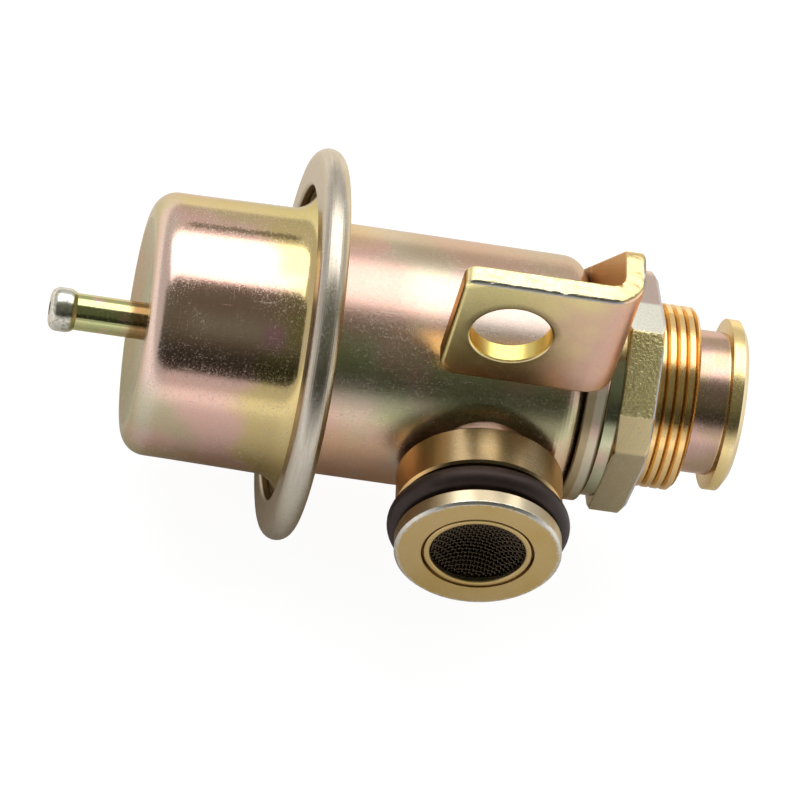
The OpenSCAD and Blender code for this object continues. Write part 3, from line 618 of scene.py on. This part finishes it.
def outlet_plating(tones):
    """Turned fitting: hexagon with one pitted flat, orange thread, rose neck and gold nose."""
    paint = new_material("outlet_plating")
    x, radius, angle = paint.main_axis()
    wear = Wear(paint, shift=(2, 14, 50), stretch=(5.0, 0.5, 0.5))
    turns = paint.noise(paint.round_axis(6.0, 1.5), 1.0, 3.0, 0.6)
    cut = paint.noise(paint.place(scale=(0.5, 4.0, 4.0)), 1.0, 3.0, 0.6)
    ragged = angle + wear.ragged(0.05)
    behind = paint.below(angle, -2.79, -2.76)
    top, far = paint.step(angle, 1.40, 1.43), paint.step(angle, 1.86, 1.92) + behind
    strip, lower = 1 - paint.step(ragged, 0.65, 0.68), 1 - paint.step(angle, 0.355, 0.378) - behind
    # Painted light on the hexagon's flats: the upper flat is painted near white as the lamp's reflection, and
    # the part further round is painted pinkish silver as a reflection. The strip below the pitted part is
    # painted paler as a highlight, while its roughness and lower metal are its own finish. The lower flats are
    # painted darker as shade, for the shadowed floor that they reflect.
    hexagon = paint.mix(top, shade(blend(tones.green, tones.gold, 0.6), 1.25), LAMP_REFLECTION_FLAT)
    pale_gold = blend(tones.gold, tones.silver, 0.25)
    hexagon = paint.mix(strip, hexagon, shade(pale_gold, 1.65))
    hexagon = paint.mix(lower, hexagon, shade(pale_gold, 0.8))
    hexagon = paint.mix(far, hexagon, blend(tones.silver, tones.rose, 0.5))
    washer = drift(paint, blend(tones.green, tones.silver, 0.25), tones.rose, 0.15, 0.5, 0.75, (0, 3, 3))
    colour = paint.mix(paint.step(x, 15.95, 16.1), washer, hexagon)
    colour = paint.mix(paint.step(x, 20.5, 20.9), colour, shade(blend(tones.orange, tones.gold, 0.35), 1.45))
    neck = drift(paint, shade(tones.rose, 0.78), shade(blend(tones.rose, tones.gold, 0.45), 0.75),
                 0.2, 0.4, 0.6, (7, 1, 1))
    on_neck = paint.step(x, 26.0, 26.4)
    colour = paint.mix(on_neck, colour, neck)
    colour = paint.mix(paint.step(x, 30.3, 30.7), colour, shade(tones.gold, 1.3))
    colour = paint.mix(paint.step(turns, 0.52, 0.75) * 0.25, colour, tones.silver)
    groove = paint.band(x, 20.9, 26.0, 0.1) * paint.below(radius, 11.4, 11.6)
    colour = paint.mix(groove * 0.35, wear.over(paint, colour, tones, 0.7), tones.dirt_and_shade)
    # Painted shade: dark lines where the washer meets the bracket's eye and the hexagon
    by_washer = paint.band(x, 15.98, 16.12, 0.05) * paint.below(radius, 14.0, 14.2)
    seam_shade = paint.band(x, 13.9, 14.25, 0.08) + by_washer
    colour = paint.mix(seam_shade * 0.8, colour, tones.dirt_and_shade)
    worn = paint.step(x + wear.ragged(0.6), 31.85, 32.05)
    colour = paint.mix(worn * 0.4, colour, tones.silver)
    rubbed = paint.band(x + wear.ragged(0.5), 20.45, 20.75, 0.08) * paint.step(radius, 13.3, 13.5)
    colour = paint.mix(rubbed * 0.8, colour, RUBBED)
    on_flats = paint.band(x, 16.3, 20.6, 0.1) * paint.step(radius, 13.0, 13.3)
    pitted = paint.band(ragged, 0.665, 1.413, 0.01) * on_flats
    sawn = lower * on_flats
    rough_skin = paint.noise(paint.place(), 2.3, 3.0, 0.6)
    roughness = 0.14 + wear.grain * 0.12 + pitted * 0.2 + strip * on_flats * 0.32 + on_neck * 0.06
    height = wear.grain * 0.3 + turns * 0.3 * (1 - on_flats) + pitted * rough_skin * 12 + sawn * cut * 3
    metallic = 1 - wear.dust * 0.4 - (strip * 0.5 - lower * 0.2) * on_flats
    return paint.metal(colour, roughness, paint.bump(height, 0.45, 0.05 * MM), metallic)


def bare_steel(name, colour, rough):
    """Pressed or drawn steel with a faint grain."""
    paint = new_material(name)
    grain = paint.noise(paint.place(), 2.0, 4.0, 0.6)
    worn = paint.mix(grain * 0.5, colour, shade(colour, 0.7))
    return paint.metal(worn, rough + grain * 0.15, paint.bump(grain, 0.15, 0.02 * MM), edge=BARE_EDGE)


def rubber(name, colour):
    """Moulded rubber with a dusty bloom."""
    paint = new_material(name)
    here = paint.place()
    bloom = paint.noise(here, 0.5, 3.0)
    grain = paint.noise(here, 5.0, 3.0)
    dusty = paint.mix(paint.step(bloom, 0.4, 0.75), colour, shade(colour, 2.2))
    return paint.finish({"Base Color": dusty, "Roughness": 0.44 + grain * 0.12,
                         "Specular Tint": opaque(RUBBER_SHEEN),
                         "Normal": paint.bump(grain, 0.15, 0.02 * MM)})


def dress(obj, material):
    """Gives a piece one material."""
    obj.data.materials.clear()
    obj.data.materials.append(material)


def dress_nodes(names, material):
    """Gives solids that stay as they are one material."""
    for name in names:
        dress(frame["nodes"][name], material)


def only(obj):
    """Makes obj the one selected and active object."""
    bpy.ops.object.select_all(action="DESELECT")
    obj.select_set(True)
    bpy.context.view_layer.objects.active = obj


def fresh(add, **settings):
    """Adds a primitive while nothing else is selected."""
    bpy.ops.object.select_all(action="DESELECT")
    add(**settings)
    return bpy.context.active_object


@contextmanager
def edit_mode():
    """Edit mode of the active object."""
    bpy.ops.object.mode_set(mode="EDIT")
    yield
    bpy.ops.object.mode_set(mode="OBJECT")


@contextmanager
def mesh_of(piece):
    """A piece's mesh to change, which is then written back."""
    mesh = bmesh.new()
    mesh.from_mesh(piece.data)
    yield mesh
    mesh.to_mesh(piece.data)
    mesh.free()


def merged_copy(node, name, whole_faces=False):
    """A copy of a solid as one closed mesh, with each flat face made whole if that is asked."""
    piece = bpy.data.objects.new(name, frame["nodes"][node].data.copy())
    bpy.context.scene.collection.objects.link(piece)
    only(piece)
    bpy.ops.mesh.customdata_custom_splitnormals_clear()
    with edit_mode():
        bpy.ops.mesh.select_all(action="SELECT")
        bpy.ops.mesh.remove_doubles(threshold=MERGE)
        if whole_faces:
            bpy.ops.mesh.dissolve_limited(angle_limit=FLAT)
    return piece


def apply_modifier(piece, kind, **settings):
    """Adds a modifier with these settings and applies it."""
    only(piece)
    modifier = piece.modifiers.new(kind.title(), kind)
    for name, setting in settings.items():
        setattr(modifier, name, setting)
    bpy.ops.object.modifier_apply(modifier=modifier.name)


def round_edges(piece, width, segments):
    """Rounds all sharp edges alike."""
    apply_modifier(piece, "BEVEL", width=width, segments=segments, limit_method="ANGLE",
                   angle_limit=SHARP, use_clamp_overlap=True)


def smooth(piece, degrees):
    """Smooth shading, apart from edges that turn by more than this."""
    only(piece)
    bpy.ops.object.shade_smooth_by_angle(angle=math.radians(degrees))


def stand_for(piece, node):
    """Rides the piece on the housing in place of a solid."""
    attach(piece, HOUSING)
    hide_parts(node)


class REGULATOR_OT_shells(bpy.types.Operator):
    """Draw the can's corner tighter, lengthen the nipple's bead, and plate can, nipple and body"""

    bl_idname = "regulator.shells"
    bl_label = "Can, body and nipple"

    def execute(self, context):
        tones = finish_settings()
        can = self.can(detail_settings())
        dress(can, can_plating(tones))
        stand_for(can, "spring_can")
        nipple = self.nipple(detail_settings())
        dress(nipple, nipple_plating(tones))
        stand_for(nipple, "vacuum_nipple")
        dress_nodes(["body_shell"], body_plating(tones))
        return {"FINISHED"}

    def can(self, sizes):
        """The can with a tighter closed corner, and a recess that is wider to match and dished."""
        piece = merged_copy("spring_can", "drawn_can")
        change = SOLID_CORNER - sizes.can_corner
        corner_r = CORNER_WALL - SOLID_CORNER
        corner_x = CAN_LOW.x + SOLID_CORNER
        for point in piece.data.vertices:
            spoke = Vector((point.co.y - AXIS_Y, point.co.z))
            out, down = spoke.length - corner_r, corner_x - point.co.x
            if down < -NEAR or spoke.length < corner_r / 2:
                continue
            turn = math.atan2(max(down, 0), max(out, 0))
            radius = spoke.length + change * (1 - math.cos(turn))
            point.co.x += change * (math.sin(turn) - 1)
            if out < -NEAR:
                radius = spoke.length + change
                if point.co.x > CAN_LOW.x + RECESS_EDGE:
                    radius *= RECESS_DISH
            spoke *= radius / spoke.length
            point.co.y, point.co.z = AXIS_Y + spoke.x, spoke.y
        smooth(piece, DRAWN)
        return piece

    def nipple(self, sizes):
        """The nipple with a longer bead."""
        piece = merged_copy("vacuum_nipple", "beaded_nipple")
        for point in piece.data.vertices:
            if BEAD_BACK[0] < point.co.x - NIPPLE_LOW.x < BEAD_BACK[1]:
                point.co.x += sizes.bead_reach
        smooth(piece, DRAWN)
        return piece


class REGULATOR_OT_bracket(bpy.types.Operator):
    """Round the bracket's sheared edges, tear its top edge and plate it"""

    bl_idname = "regulator.bracket"
    bl_label = "Mounting bracket"

    def execute(self, context):
        sizes = detail_settings()
        piece = merged_copy("mounting_bracket", "bracket_sheet")
        self.join_faces(piece)
        self.weigh_edges(piece, sizes)
        apply_modifier(piece, "BEVEL", width=sizes.rolled_edge, segments=4, limit_method="WEIGHT",
                       use_clamp_overlap=False, face_strength_mode="FSTR_ALL", loop_slide=False)
        self.tear(piece, sizes)
        smooth(piece, SHEET)
        apply_modifier(piece, "WEIGHTED_NORMAL", keep_sharp=True, use_face_influence=True)
        dress(piece, bracket_plating(finish_settings()))
        stand_for(piece, "mounting_bracket")
        return {"FINISHED"}

    def join_faces(self, piece):
        """Makes the flat faces whole, apart from one straight seam across the bolt hole."""
        with mesh_of(piece) as mesh:
            cut = bmesh.ops.bisect_plane(mesh, geom=[*mesh.verts, *mesh.edges, *mesh.faces],
                                         plane_co=BOLT_AT, plane_no=(1, 0, 0), dist=CUT)
            for bit in cut["geom_cut"]:
                if isinstance(bit, bmesh.types.BMEdge):
                    bit.seam = True
            bmesh.ops.dissolve_limit(mesh, angle_limit=FLAT, verts=mesh.verts, edges=mesh.edges,
                                     delimit={"SEAM"})

    def weigh_edges(self, piece, sizes):
        """Marks the sharp edges with their rounding, as a share of the largest."""
        with mesh_of(piece) as mesh:
            weight = mesh.edges.layers.float.new("bevel_weight_edge")
            for edge in mesh.edges:
                if edge.calc_face_angle(0) > SHARP:
                    edge[weight] = self.rounding(edge, sizes) / sizes.rolled_edge

    def rounding(self, edge, sizes):
        """How far an edge is rounded: most on the outside of the bend, least at the back of the bolt hole."""
        ends = [end.co for end in edge.verts]
        on_front = all(abs(end.y - TAB_FRONT) < ON_FACE and end.z > TAB_FOOT for end in ends)
        if all(self.at_hole(end) for end in ends):
            return sizes.hole_edge if on_front else sizes.hole_back
        on_leg = all(end.x > TAB_HIGH.x - ON_FACE and end.z > LEG_LOW for end in ends)
        in_bend = all(self.outside(end) for end in ends) and abs(ends[0].z - ends[1].z) < NEAR
        if in_bend and ends[0].z < LEG_LOW and not on_front:
            share = min((TAB_HIGH.x - ends[0].x) / BEND, 1)
            return sizes.bracket_edge + share * (sizes.rolled_edge - sizes.bracket_edge)
        return sizes.rolled_edge if on_front or on_leg or in_bend else sizes.bracket_edge

    def at_hole(self, end):
        """Whether a point is on the bolt hole's wall."""
        return (end - BOLT_AT).xz.length < BOLT_R + HOLE_MARGIN and end.y < BOLT_AT.y + HOLE_DEPTH

    def outside(self, end):
        """Whether a point is near the outer faces of the tab and the leg."""
        return end.z > TAB_FOOT and min(end.y - TAB_FRONT, TAB_HIGH.x - end.x) < OUTER_SKIN

    def tear(self, piece, sizes):
        """Waves along the torn edge at the top of the tab and the leg."""
        with mesh_of(piece) as mesh:
            for axis, low, high in ((0, TAB_LOW.x, TAB_HIGH.x), (1, TAB_FRONT, AXIS_Y)):
                normal = Vector((axis == 0, axis == 1, 0))
                for cut in range(1, int((high - low) / TEAR_STEP)):
                    bmesh.ops.bisect_plane(mesh, geom=self.top_bits(mesh, sizes), dist=NEAR,
                                           plane_co=normal * (low + cut * TEAR_STEP), plane_no=normal)
            bmesh.ops.triangulate(mesh, faces=[face for face in mesh.faces if len(face.verts) > 4])
            for point in mesh.verts:
                if point.co.z > TAB_HIGH.z - 0.5 * sizes.bracket_edge:
                    wave = noise.fractal(point.co * TEAR_SCALE, 1.0, 2.0, 3)
                    point.co.z += min(wave, 0) * sizes.torn_height

    def top_bits(self, mesh, sizes):
        """The faces along the top edge, with their edges and points, each once."""
        low = TAB_HIGH.z - sizes.rolled_edge
        upper = [face for face in mesh.faces if face.calc_center_median().z > low]
        return list(dict.fromkeys(bit for face in upper for bit in (face, *face.edges, *face.verts)))


class REGULATOR_OT_port(bpy.types.Operator):
    """Round the screen ring's edges, plate it with the turned port, and dress the O-ring"""

    bl_idname = "regulator.port"
    bl_label = "Inlet port and O-ring"

    def execute(self, context):
        tones = finish_settings()
        plating = port_plating(tones)
        dress_nodes(["inlet_port"], plating)
        ring = merged_copy("screen_ring", "rounded_ring")
        round_edges(ring, detail_settings().ring_edge, 3)
        smooth(ring, DRAWN)
        dress(ring, plating)
        stand_for(ring, "screen_ring")
        dress_nodes(["inlet_o_ring"], rubber("o_ring_rubber", tones.rubber))
        return {"FINISHED"}


class REGULATOR_OT_screen(bpy.types.Operator):
    """Weave the inlet screen from two sets of wires on its dish"""

    bl_idname = "regulator.screen"
    bl_label = "Woven inlet screen"

    def execute(self, context):
        sizes = detail_settings()
        radius = (SCREEN_HIGH.x - SCREEN_LOW.x) / 2 * WOVEN_SHARE
        first = self.wires(radius, sizes, along=0)
        second = self.wires(radius, sizes, along=1)
        only(first)
        second.select_set(True)
        bpy.ops.object.join()
        first.name = "woven_screen"
        smooth(first, WIRE)
        dress(first, bare_steel("screen_wire", list(finish_settings().wire), 0.2))
        stand_for(first, "inlet_screen")
        return {"FINISHED"}

    def wires(self, radius, sizes, along):
        """One set of parallel wires, waved over and under the other set."""
        self.wave(self.lines(radius, sizes), radius, sizes, along)
        bpy.ops.object.convert(target="CURVE")
        curve = bpy.context.active_object.data
        curve.bevel_depth = sizes.wire_radius
        curve.bevel_resolution = 1
        curve.use_fill_caps = True
        bpy.ops.object.convert(target="MESH")
        return bpy.context.active_object

    def lines(self, radius, sizes):
        """A flat grid that keeps only its lines along x."""
        count = int(2 * radius / sizes.wire_pitch)
        piece = fresh(bpy.ops.mesh.primitive_grid_add, x_subdivisions=STEPS_PER_WIRE * count,
                      y_subdivisions=count, size=2 * radius)
        with edit_mode():
            bpy.ops.mesh.select_mode(type="EDGE")
            bpy.ops.mesh.select_all(action="DESELECT")
        points = piece.data.vertices
        for edge in piece.data.edges:
            a, b = (points[i].co for i in edge.vertices)
            edge.select = abs(a.y - b.y) > abs(a.x - b.x)
        with edit_mode():
            bpy.ops.mesh.delete(type="EDGE")
            bpy.ops.mesh.select_mode(type="VERT")
            bpy.ops.mesh.select_all(action="DESELECT")
        return piece

    def wave(self, piece, radius, sizes, along):
        """Waves the lines, dishes them and cuts them off at the radius."""
        low = SCREEN_LOW.y + 2 * sizes.wire_radius
        depth = SCREEN_HIGH.y - SCREEN_LOW.y - 3 * sizes.wire_radius
        for point in piece.data.vertices:
            u, v = point.co.x, point.co.y
            wave = math.cos(math.pi * u / sizes.wire_pitch + math.pi * round(v / sizes.wire_pitch))
            lift = sizes.wire_radius * wave * (1 if along == 0 else -1)
            dish = depth * (1 - (u * u + v * v) / sizes.dish_radius ** 2)
            across = (u, v) if along == 0 else (v, u)
            point.co = Vector((across[0], low + max(dish, 0) + lift, across[1]))
            point.select = u * u + v * v > radius ** 2
        with edit_mode():
            bpy.ops.mesh.delete(type="VERT")


class REGULATOR_OT_outlet(bpy.types.Operator):
    """Cut the outlet thread, round the fitting's edges and plate it"""

    bl_idname = "regulator.outlet"
    bl_label = "Outlet fitting"

    def execute(self, context):
        sizes = detail_settings()
        piece = merged_copy("outlet_fitting", "threaded_outlet", whole_faces=True)
        round_edges(piece, sizes.fitting_edge, 2)
        cutter = self.thread_cutter(sizes)
        apply_modifier(piece, "BOOLEAN", operation="DIFFERENCE", object=cutter, solver="EXACT")
        bpy.data.objects.remove(cutter)
        smooth(piece, TURNED)
        dress(piece, outlet_plating(finish_settings()))
        stand_for(piece, "outlet_fitting")
        return {"FINISHED"}

    def thread_cutter(self, sizes):
        """A closed helix with a 60 degree section that cuts the thread's groove."""
        crest = THREAD["dims"]["r_mm"] * MM
        span = THREAD["dims"]["length_mm"] * MM
        start = THREAD["pos_m"][0] - span / 2
        cutter = fresh(bpy.ops.mesh.primitive_circle_add, vertices=3, radius=sizes.thread_depth,
                       location=(start, AXIS_Y, -crest), rotation=(math.radians(90), 0, 0))
        bpy.ops.object.transform_apply(location=True, rotation=True)
        bpy.context.scene.cursor.location = CROSSING
        bpy.ops.object.origin_set(type="ORIGIN_CURSOR")
        apply_modifier(cutter, "SCREW", axis="X", angle=2 * math.pi, screw_offset=sizes.thread_pitch,
                       iterations=math.ceil(span / sizes.thread_pitch), steps=THREAD_STEPS,
                       render_steps=THREAD_STEPS)
        with edit_mode():
            bpy.ops.mesh.select_all(action="SELECT")
            bpy.ops.mesh.fill_holes(sides=4)
            bpy.ops.mesh.normals_make_consistent(inside=False)
        return cutter


class REGULATOR_OT_inside(bpy.types.Operator):
    """Dress the valve, plates and springs, and cut the diaphragm into a disc and a rim"""

    bl_idname = "regulator.inside"
    bl_label = "Pieces inside"

    def execute(self, context):
        tones = finish_settings()
        steel = list(tones.steel)
        pressed = ["spring_cup", "upper_plate", "lower_plate", "valve_holder", "ball_retainer", "return_tube"]
        dress_nodes(pressed, bare_steel("pressed_steel", steel, 0.32))
        wire = bare_steel("spring_wire", shade(steel, 0.5), 0.28)
        dress_nodes(["ball_spring"], wire)
        self.spring(wire)
        dress_nodes(["valve_ball"], bare_steel("ball_steel", shade(steel, 1.4), 0.08))
        dress_nodes(["valve_seat"], bare_steel("seat_brass", list(tones.gold), 0.25))
        self.diaphragm(rubber("diaphragm_rubber", tones.rubber))
        return {"FINISHED"}

    def spring(self, material):
        """The pressure spring, which rides on the housing; in the regulator the lifting valve shortens it
        towards the can's closed end.
        """
        piece = merged_copy("pressure_spring", "coiled_spring")
        smooth(piece, WIRE)
        dress(piece, material)
        stand_for(piece, "pressure_spring")
        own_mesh(piece)

    def diaphragm(self, material):
        """The diaphragm as a disc and a rim that meet at the crown of its roll."""
        for name, inner, bodies in (("diaphragm_disc", True, (VALVE, HOUSING)),
                                    ("diaphragm_rim", False, (HOUSING, VALVE))):
            piece = merged_copy("diaphragm", name)
            self.keep_side(piece, inner)
            smooth(piece, DRAWN)
            dress(piece, material)
            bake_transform(piece)
            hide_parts("diaphragm")

    def keep_side(self, piece, inner):
        """Keeps what is inside or outside the crown of the roll, with its cut closed."""
        with mesh_of(piece) as mesh:
            gone = [face for face in mesh.faces
                    if ((face.calc_center_median() - CROSSING).yz.length < ROLL_MID) != inner]
            bmesh.ops.delete(mesh, geom=gone, context="FACES")
            bmesh.ops.bridge_loops(mesh, edges=[edge for edge in mesh.edges if edge.is_boundary])
            bmesh.ops.recalc_face_normals(mesh, faces=mesh.faces)


class REGULATOR_OT_stage(bpy.types.Operator):
    """Set the floor, the world, the soft lamp, the dark card and the camera"""

    bl_idname = "regulator.stage"
    bl_label = "Studio"

    def execute(self, context):
        settings = stage_settings()
        self.floor(settings)
        self.world(context.scene, settings)
        self.lamp(settings)
        self.card(settings)
        self.camera(settings)
        context.scene.view_settings.view_transform = "Standard"
        return {"FINISHED"}

    def glow(self, paint, amount, colour=WHITE, kind="ShaderNodeEmission"):
        """A shader that gives light."""
        return paint.node(kind, None, {"Color": opaque(colour), "Strength": amount})

    def matt(self, paint, level):
        """A matt grey shader."""
        return paint.node("ShaderNodeBsdfDiffuse", None, {"Color": opaque((level, level, level))})

    def both(self, paint, first, second):
        """Two shaders added up."""
        return paint.node("ShaderNodeAddShader", None, {0: first, 1: second})

    def by_ray(self, paint, camera, mirror, other):
        """Puts one shader on the surface for the camera, one for reflections and one for all other rays."""
        glossy, through, direct = (paint.node("ShaderNodeLightPath", output="Is %s Ray" % kind)
                                   for kind in ("Glossy", "Transmission", "Camera"))
        shader = paint.node("ShaderNodeMixShader", None, {0: glossy + through, 1: other, 2: mirror})
        return paint.surface(paint.node("ShaderNodeMixShader", None, {0: direct, 1: shader, 2: camera}))

    def floor(self, settings):
        """A white floor that keeps the shadow and is darker under the object in reflections."""
        floor = fresh(bpy.ops.mesh.primitive_plane_add, size=FLOOR_SIZE, location=(0, 0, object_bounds()[0].z))
        floor.name = "floor"
        floor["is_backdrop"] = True
        paint = new_material("floor_white")
        x, y, _ = paint.axes()
        # Painted shade: in reflections the floor's glow fades near the object
        far = paint.step((x * x + y * y) ** 0.5, SHINE_FROM, SHINE_FULL)
        plain = self.matt(paint, settings.floor_plain)
        shine = self.both(paint, self.glow(paint, far * settings.floor_shine), plain)
        white = self.both(paint, self.glow(paint, settings.floor_glow), self.matt(paint, settings.floor_card))
        dress(floor, self.by_ray(paint, white, shine, plain))

    def world(self, scene, settings):
        """A white world that lights the object less than it shows."""
        scene.world = bpy.data.worlds.new("studio")
        paint = Paint(scene.world, "ShaderNodeOutputWorld")
        amounts = (settings.backdrop, settings.mirrored, settings.fill)
        self.by_ray(paint, *(self.glow(paint, amount, kind="ShaderNodeBackground") for amount in amounts))

    def lamp(self, settings):
        """One large soft lamp above and behind."""
        away = Vector((0, math.sin(settings.softbox_lean), math.cos(settings.softbox_lean)))
        lamp = bpy.data.lights.new("softbox", "AREA")
        lamp.shape = "RECTANGLE"
        lamp.size = settings.softbox_width
        lamp.size_y = settings.softbox_depth
        lamp.energy = settings.softbox_power
        lamp_object = bpy.data.objects.new("softbox", lamp)
        lamp_object.location = CROSSING + away
        lamp_object.rotation_mode = "QUATERNION"
        lamp_object.rotation_quaternion = away.to_track_quat("Z", "Y")
        bpy.context.scene.collection.objects.link(lamp_object)

    def card(self, settings):
        """A dark curved card on the camera's side that only reflections see."""
        reach, low = settings.card_reach, settings.card_low
        card = fresh(bpy.ops.mesh.primitive_plane_add, size=settings.card_width, location=(0, 0, 0))
        card.name = "dark_card"
        with edit_mode():
            bpy.ops.mesh.subdivide(number_cuts=CARD_CUTS)
        for point in card.data.vertices:
            angle = low + (settings.card_high - low) * (point.co.y / settings.card_width + 0.5)
            point.co = Vector((point.co.x, AXIS_Y - reach * math.cos(angle), reach * math.sin(angle)))
        card.visible_camera = False
        card.visible_diffuse = False
        card.visible_shadow = False
        card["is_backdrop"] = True
        paint = new_material("card_dark")
        height = paint.axes()[2] * MM / reach
        amount = 0.04 + paint.step(height, 0.45, 0.85) * 0.13
        dress(card, paint.surface(self.glow(paint, amount, CARD_TINT)))

    def camera(self, settings):
        """A camera at the photograph's angle, aimed so that the axes cross where they do there."""
        az, el, roll = settings.azimuth, settings.elevation, settings.roll
        back = Vector((math.sin(az) * math.cos(el), -math.cos(az) * math.cos(el), math.sin(el)))
        level = Vector((math.cos(az), math.sin(az), 0))
        right = math.cos(roll) * level + math.sin(roll) * back.cross(level)
        up = back.cross(right)
        data = bpy.data.cameras.new("camera")
        data.sensor_width = settings.sensor
        data.lens = settings.lens
        data.clip_end = 50
        camera = bpy.data.objects.new("camera", data)
        bpy.context.scene.collection.objects.link(camera)
        place = CROSSING - settings.offset_right * right - settings.offset_up * up + settings.distance * back
        turn = Matrix((right, up, back)).transposed().to_4x4()
        camera.matrix_world = Matrix.Translation(place) @ turn
        bpy.context.scene.camera = camera


OPERATORS = [
    REGULATOR_OT_shells, REGULATOR_OT_bracket, REGULATOR_OT_port, REGULATOR_OT_screen,
    REGULATOR_OT_outlet, REGULATOR_OT_inside, REGULATOR_OT_stage,
]


class REGULATOR_PT_panel(bpy.types.Panel):
    """Lists the regulator's operators and settings"""

    bl_idname = "REGULATOR_PT_panel"
    bl_label = "Fuel pressure regulator"
    bl_space_type = "VIEW_3D"
    bl_region_type = "UI"
    bl_category = "Regulator"

    def draw(self, context):
        for operator in OPERATORS:
            self.layout.operator(operator.bl_idname)
        for settings in (finish_settings(), detail_settings(), stage_settings()):
            box = self.layout.box()
            for name in settings.__annotations__:
                box.prop(settings, name)


CLASSES = [FinishSettings, DetailSettings, StageSettings, *OPERATORS, REGULATOR_PT_panel]


def register():
    for cls in CLASSES:
        bpy.utils.register_class(cls)
    bpy.types.Scene.regulator_finish = PointerProperty(type=FinishSettings)
    bpy.types.Scene.regulator_detail = PointerProperty(type=DetailSettings)
    bpy.types.Scene.regulator_stage = PointerProperty(type=StageSettings)


def unregister():
    del bpy.types.Scene.regulator_stage
    del bpy.types.Scene.regulator_detail
    del bpy.types.Scene.regulator_finish
    for cls in reversed(CLASSES):
        bpy.utils.unregister_class(cls)


def main():
    register()
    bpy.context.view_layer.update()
    bpy.ops.regulator.shells()
    bpy.ops.regulator.bracket()
    bpy.ops.regulator.port()
    bpy.ops.regulator.screen()
    bpy.ops.regulator.outlet()
    bpy.ops.regulator.inside()
    bpy.ops.regulator.stage()


if __name__ == "__main__":
    main()
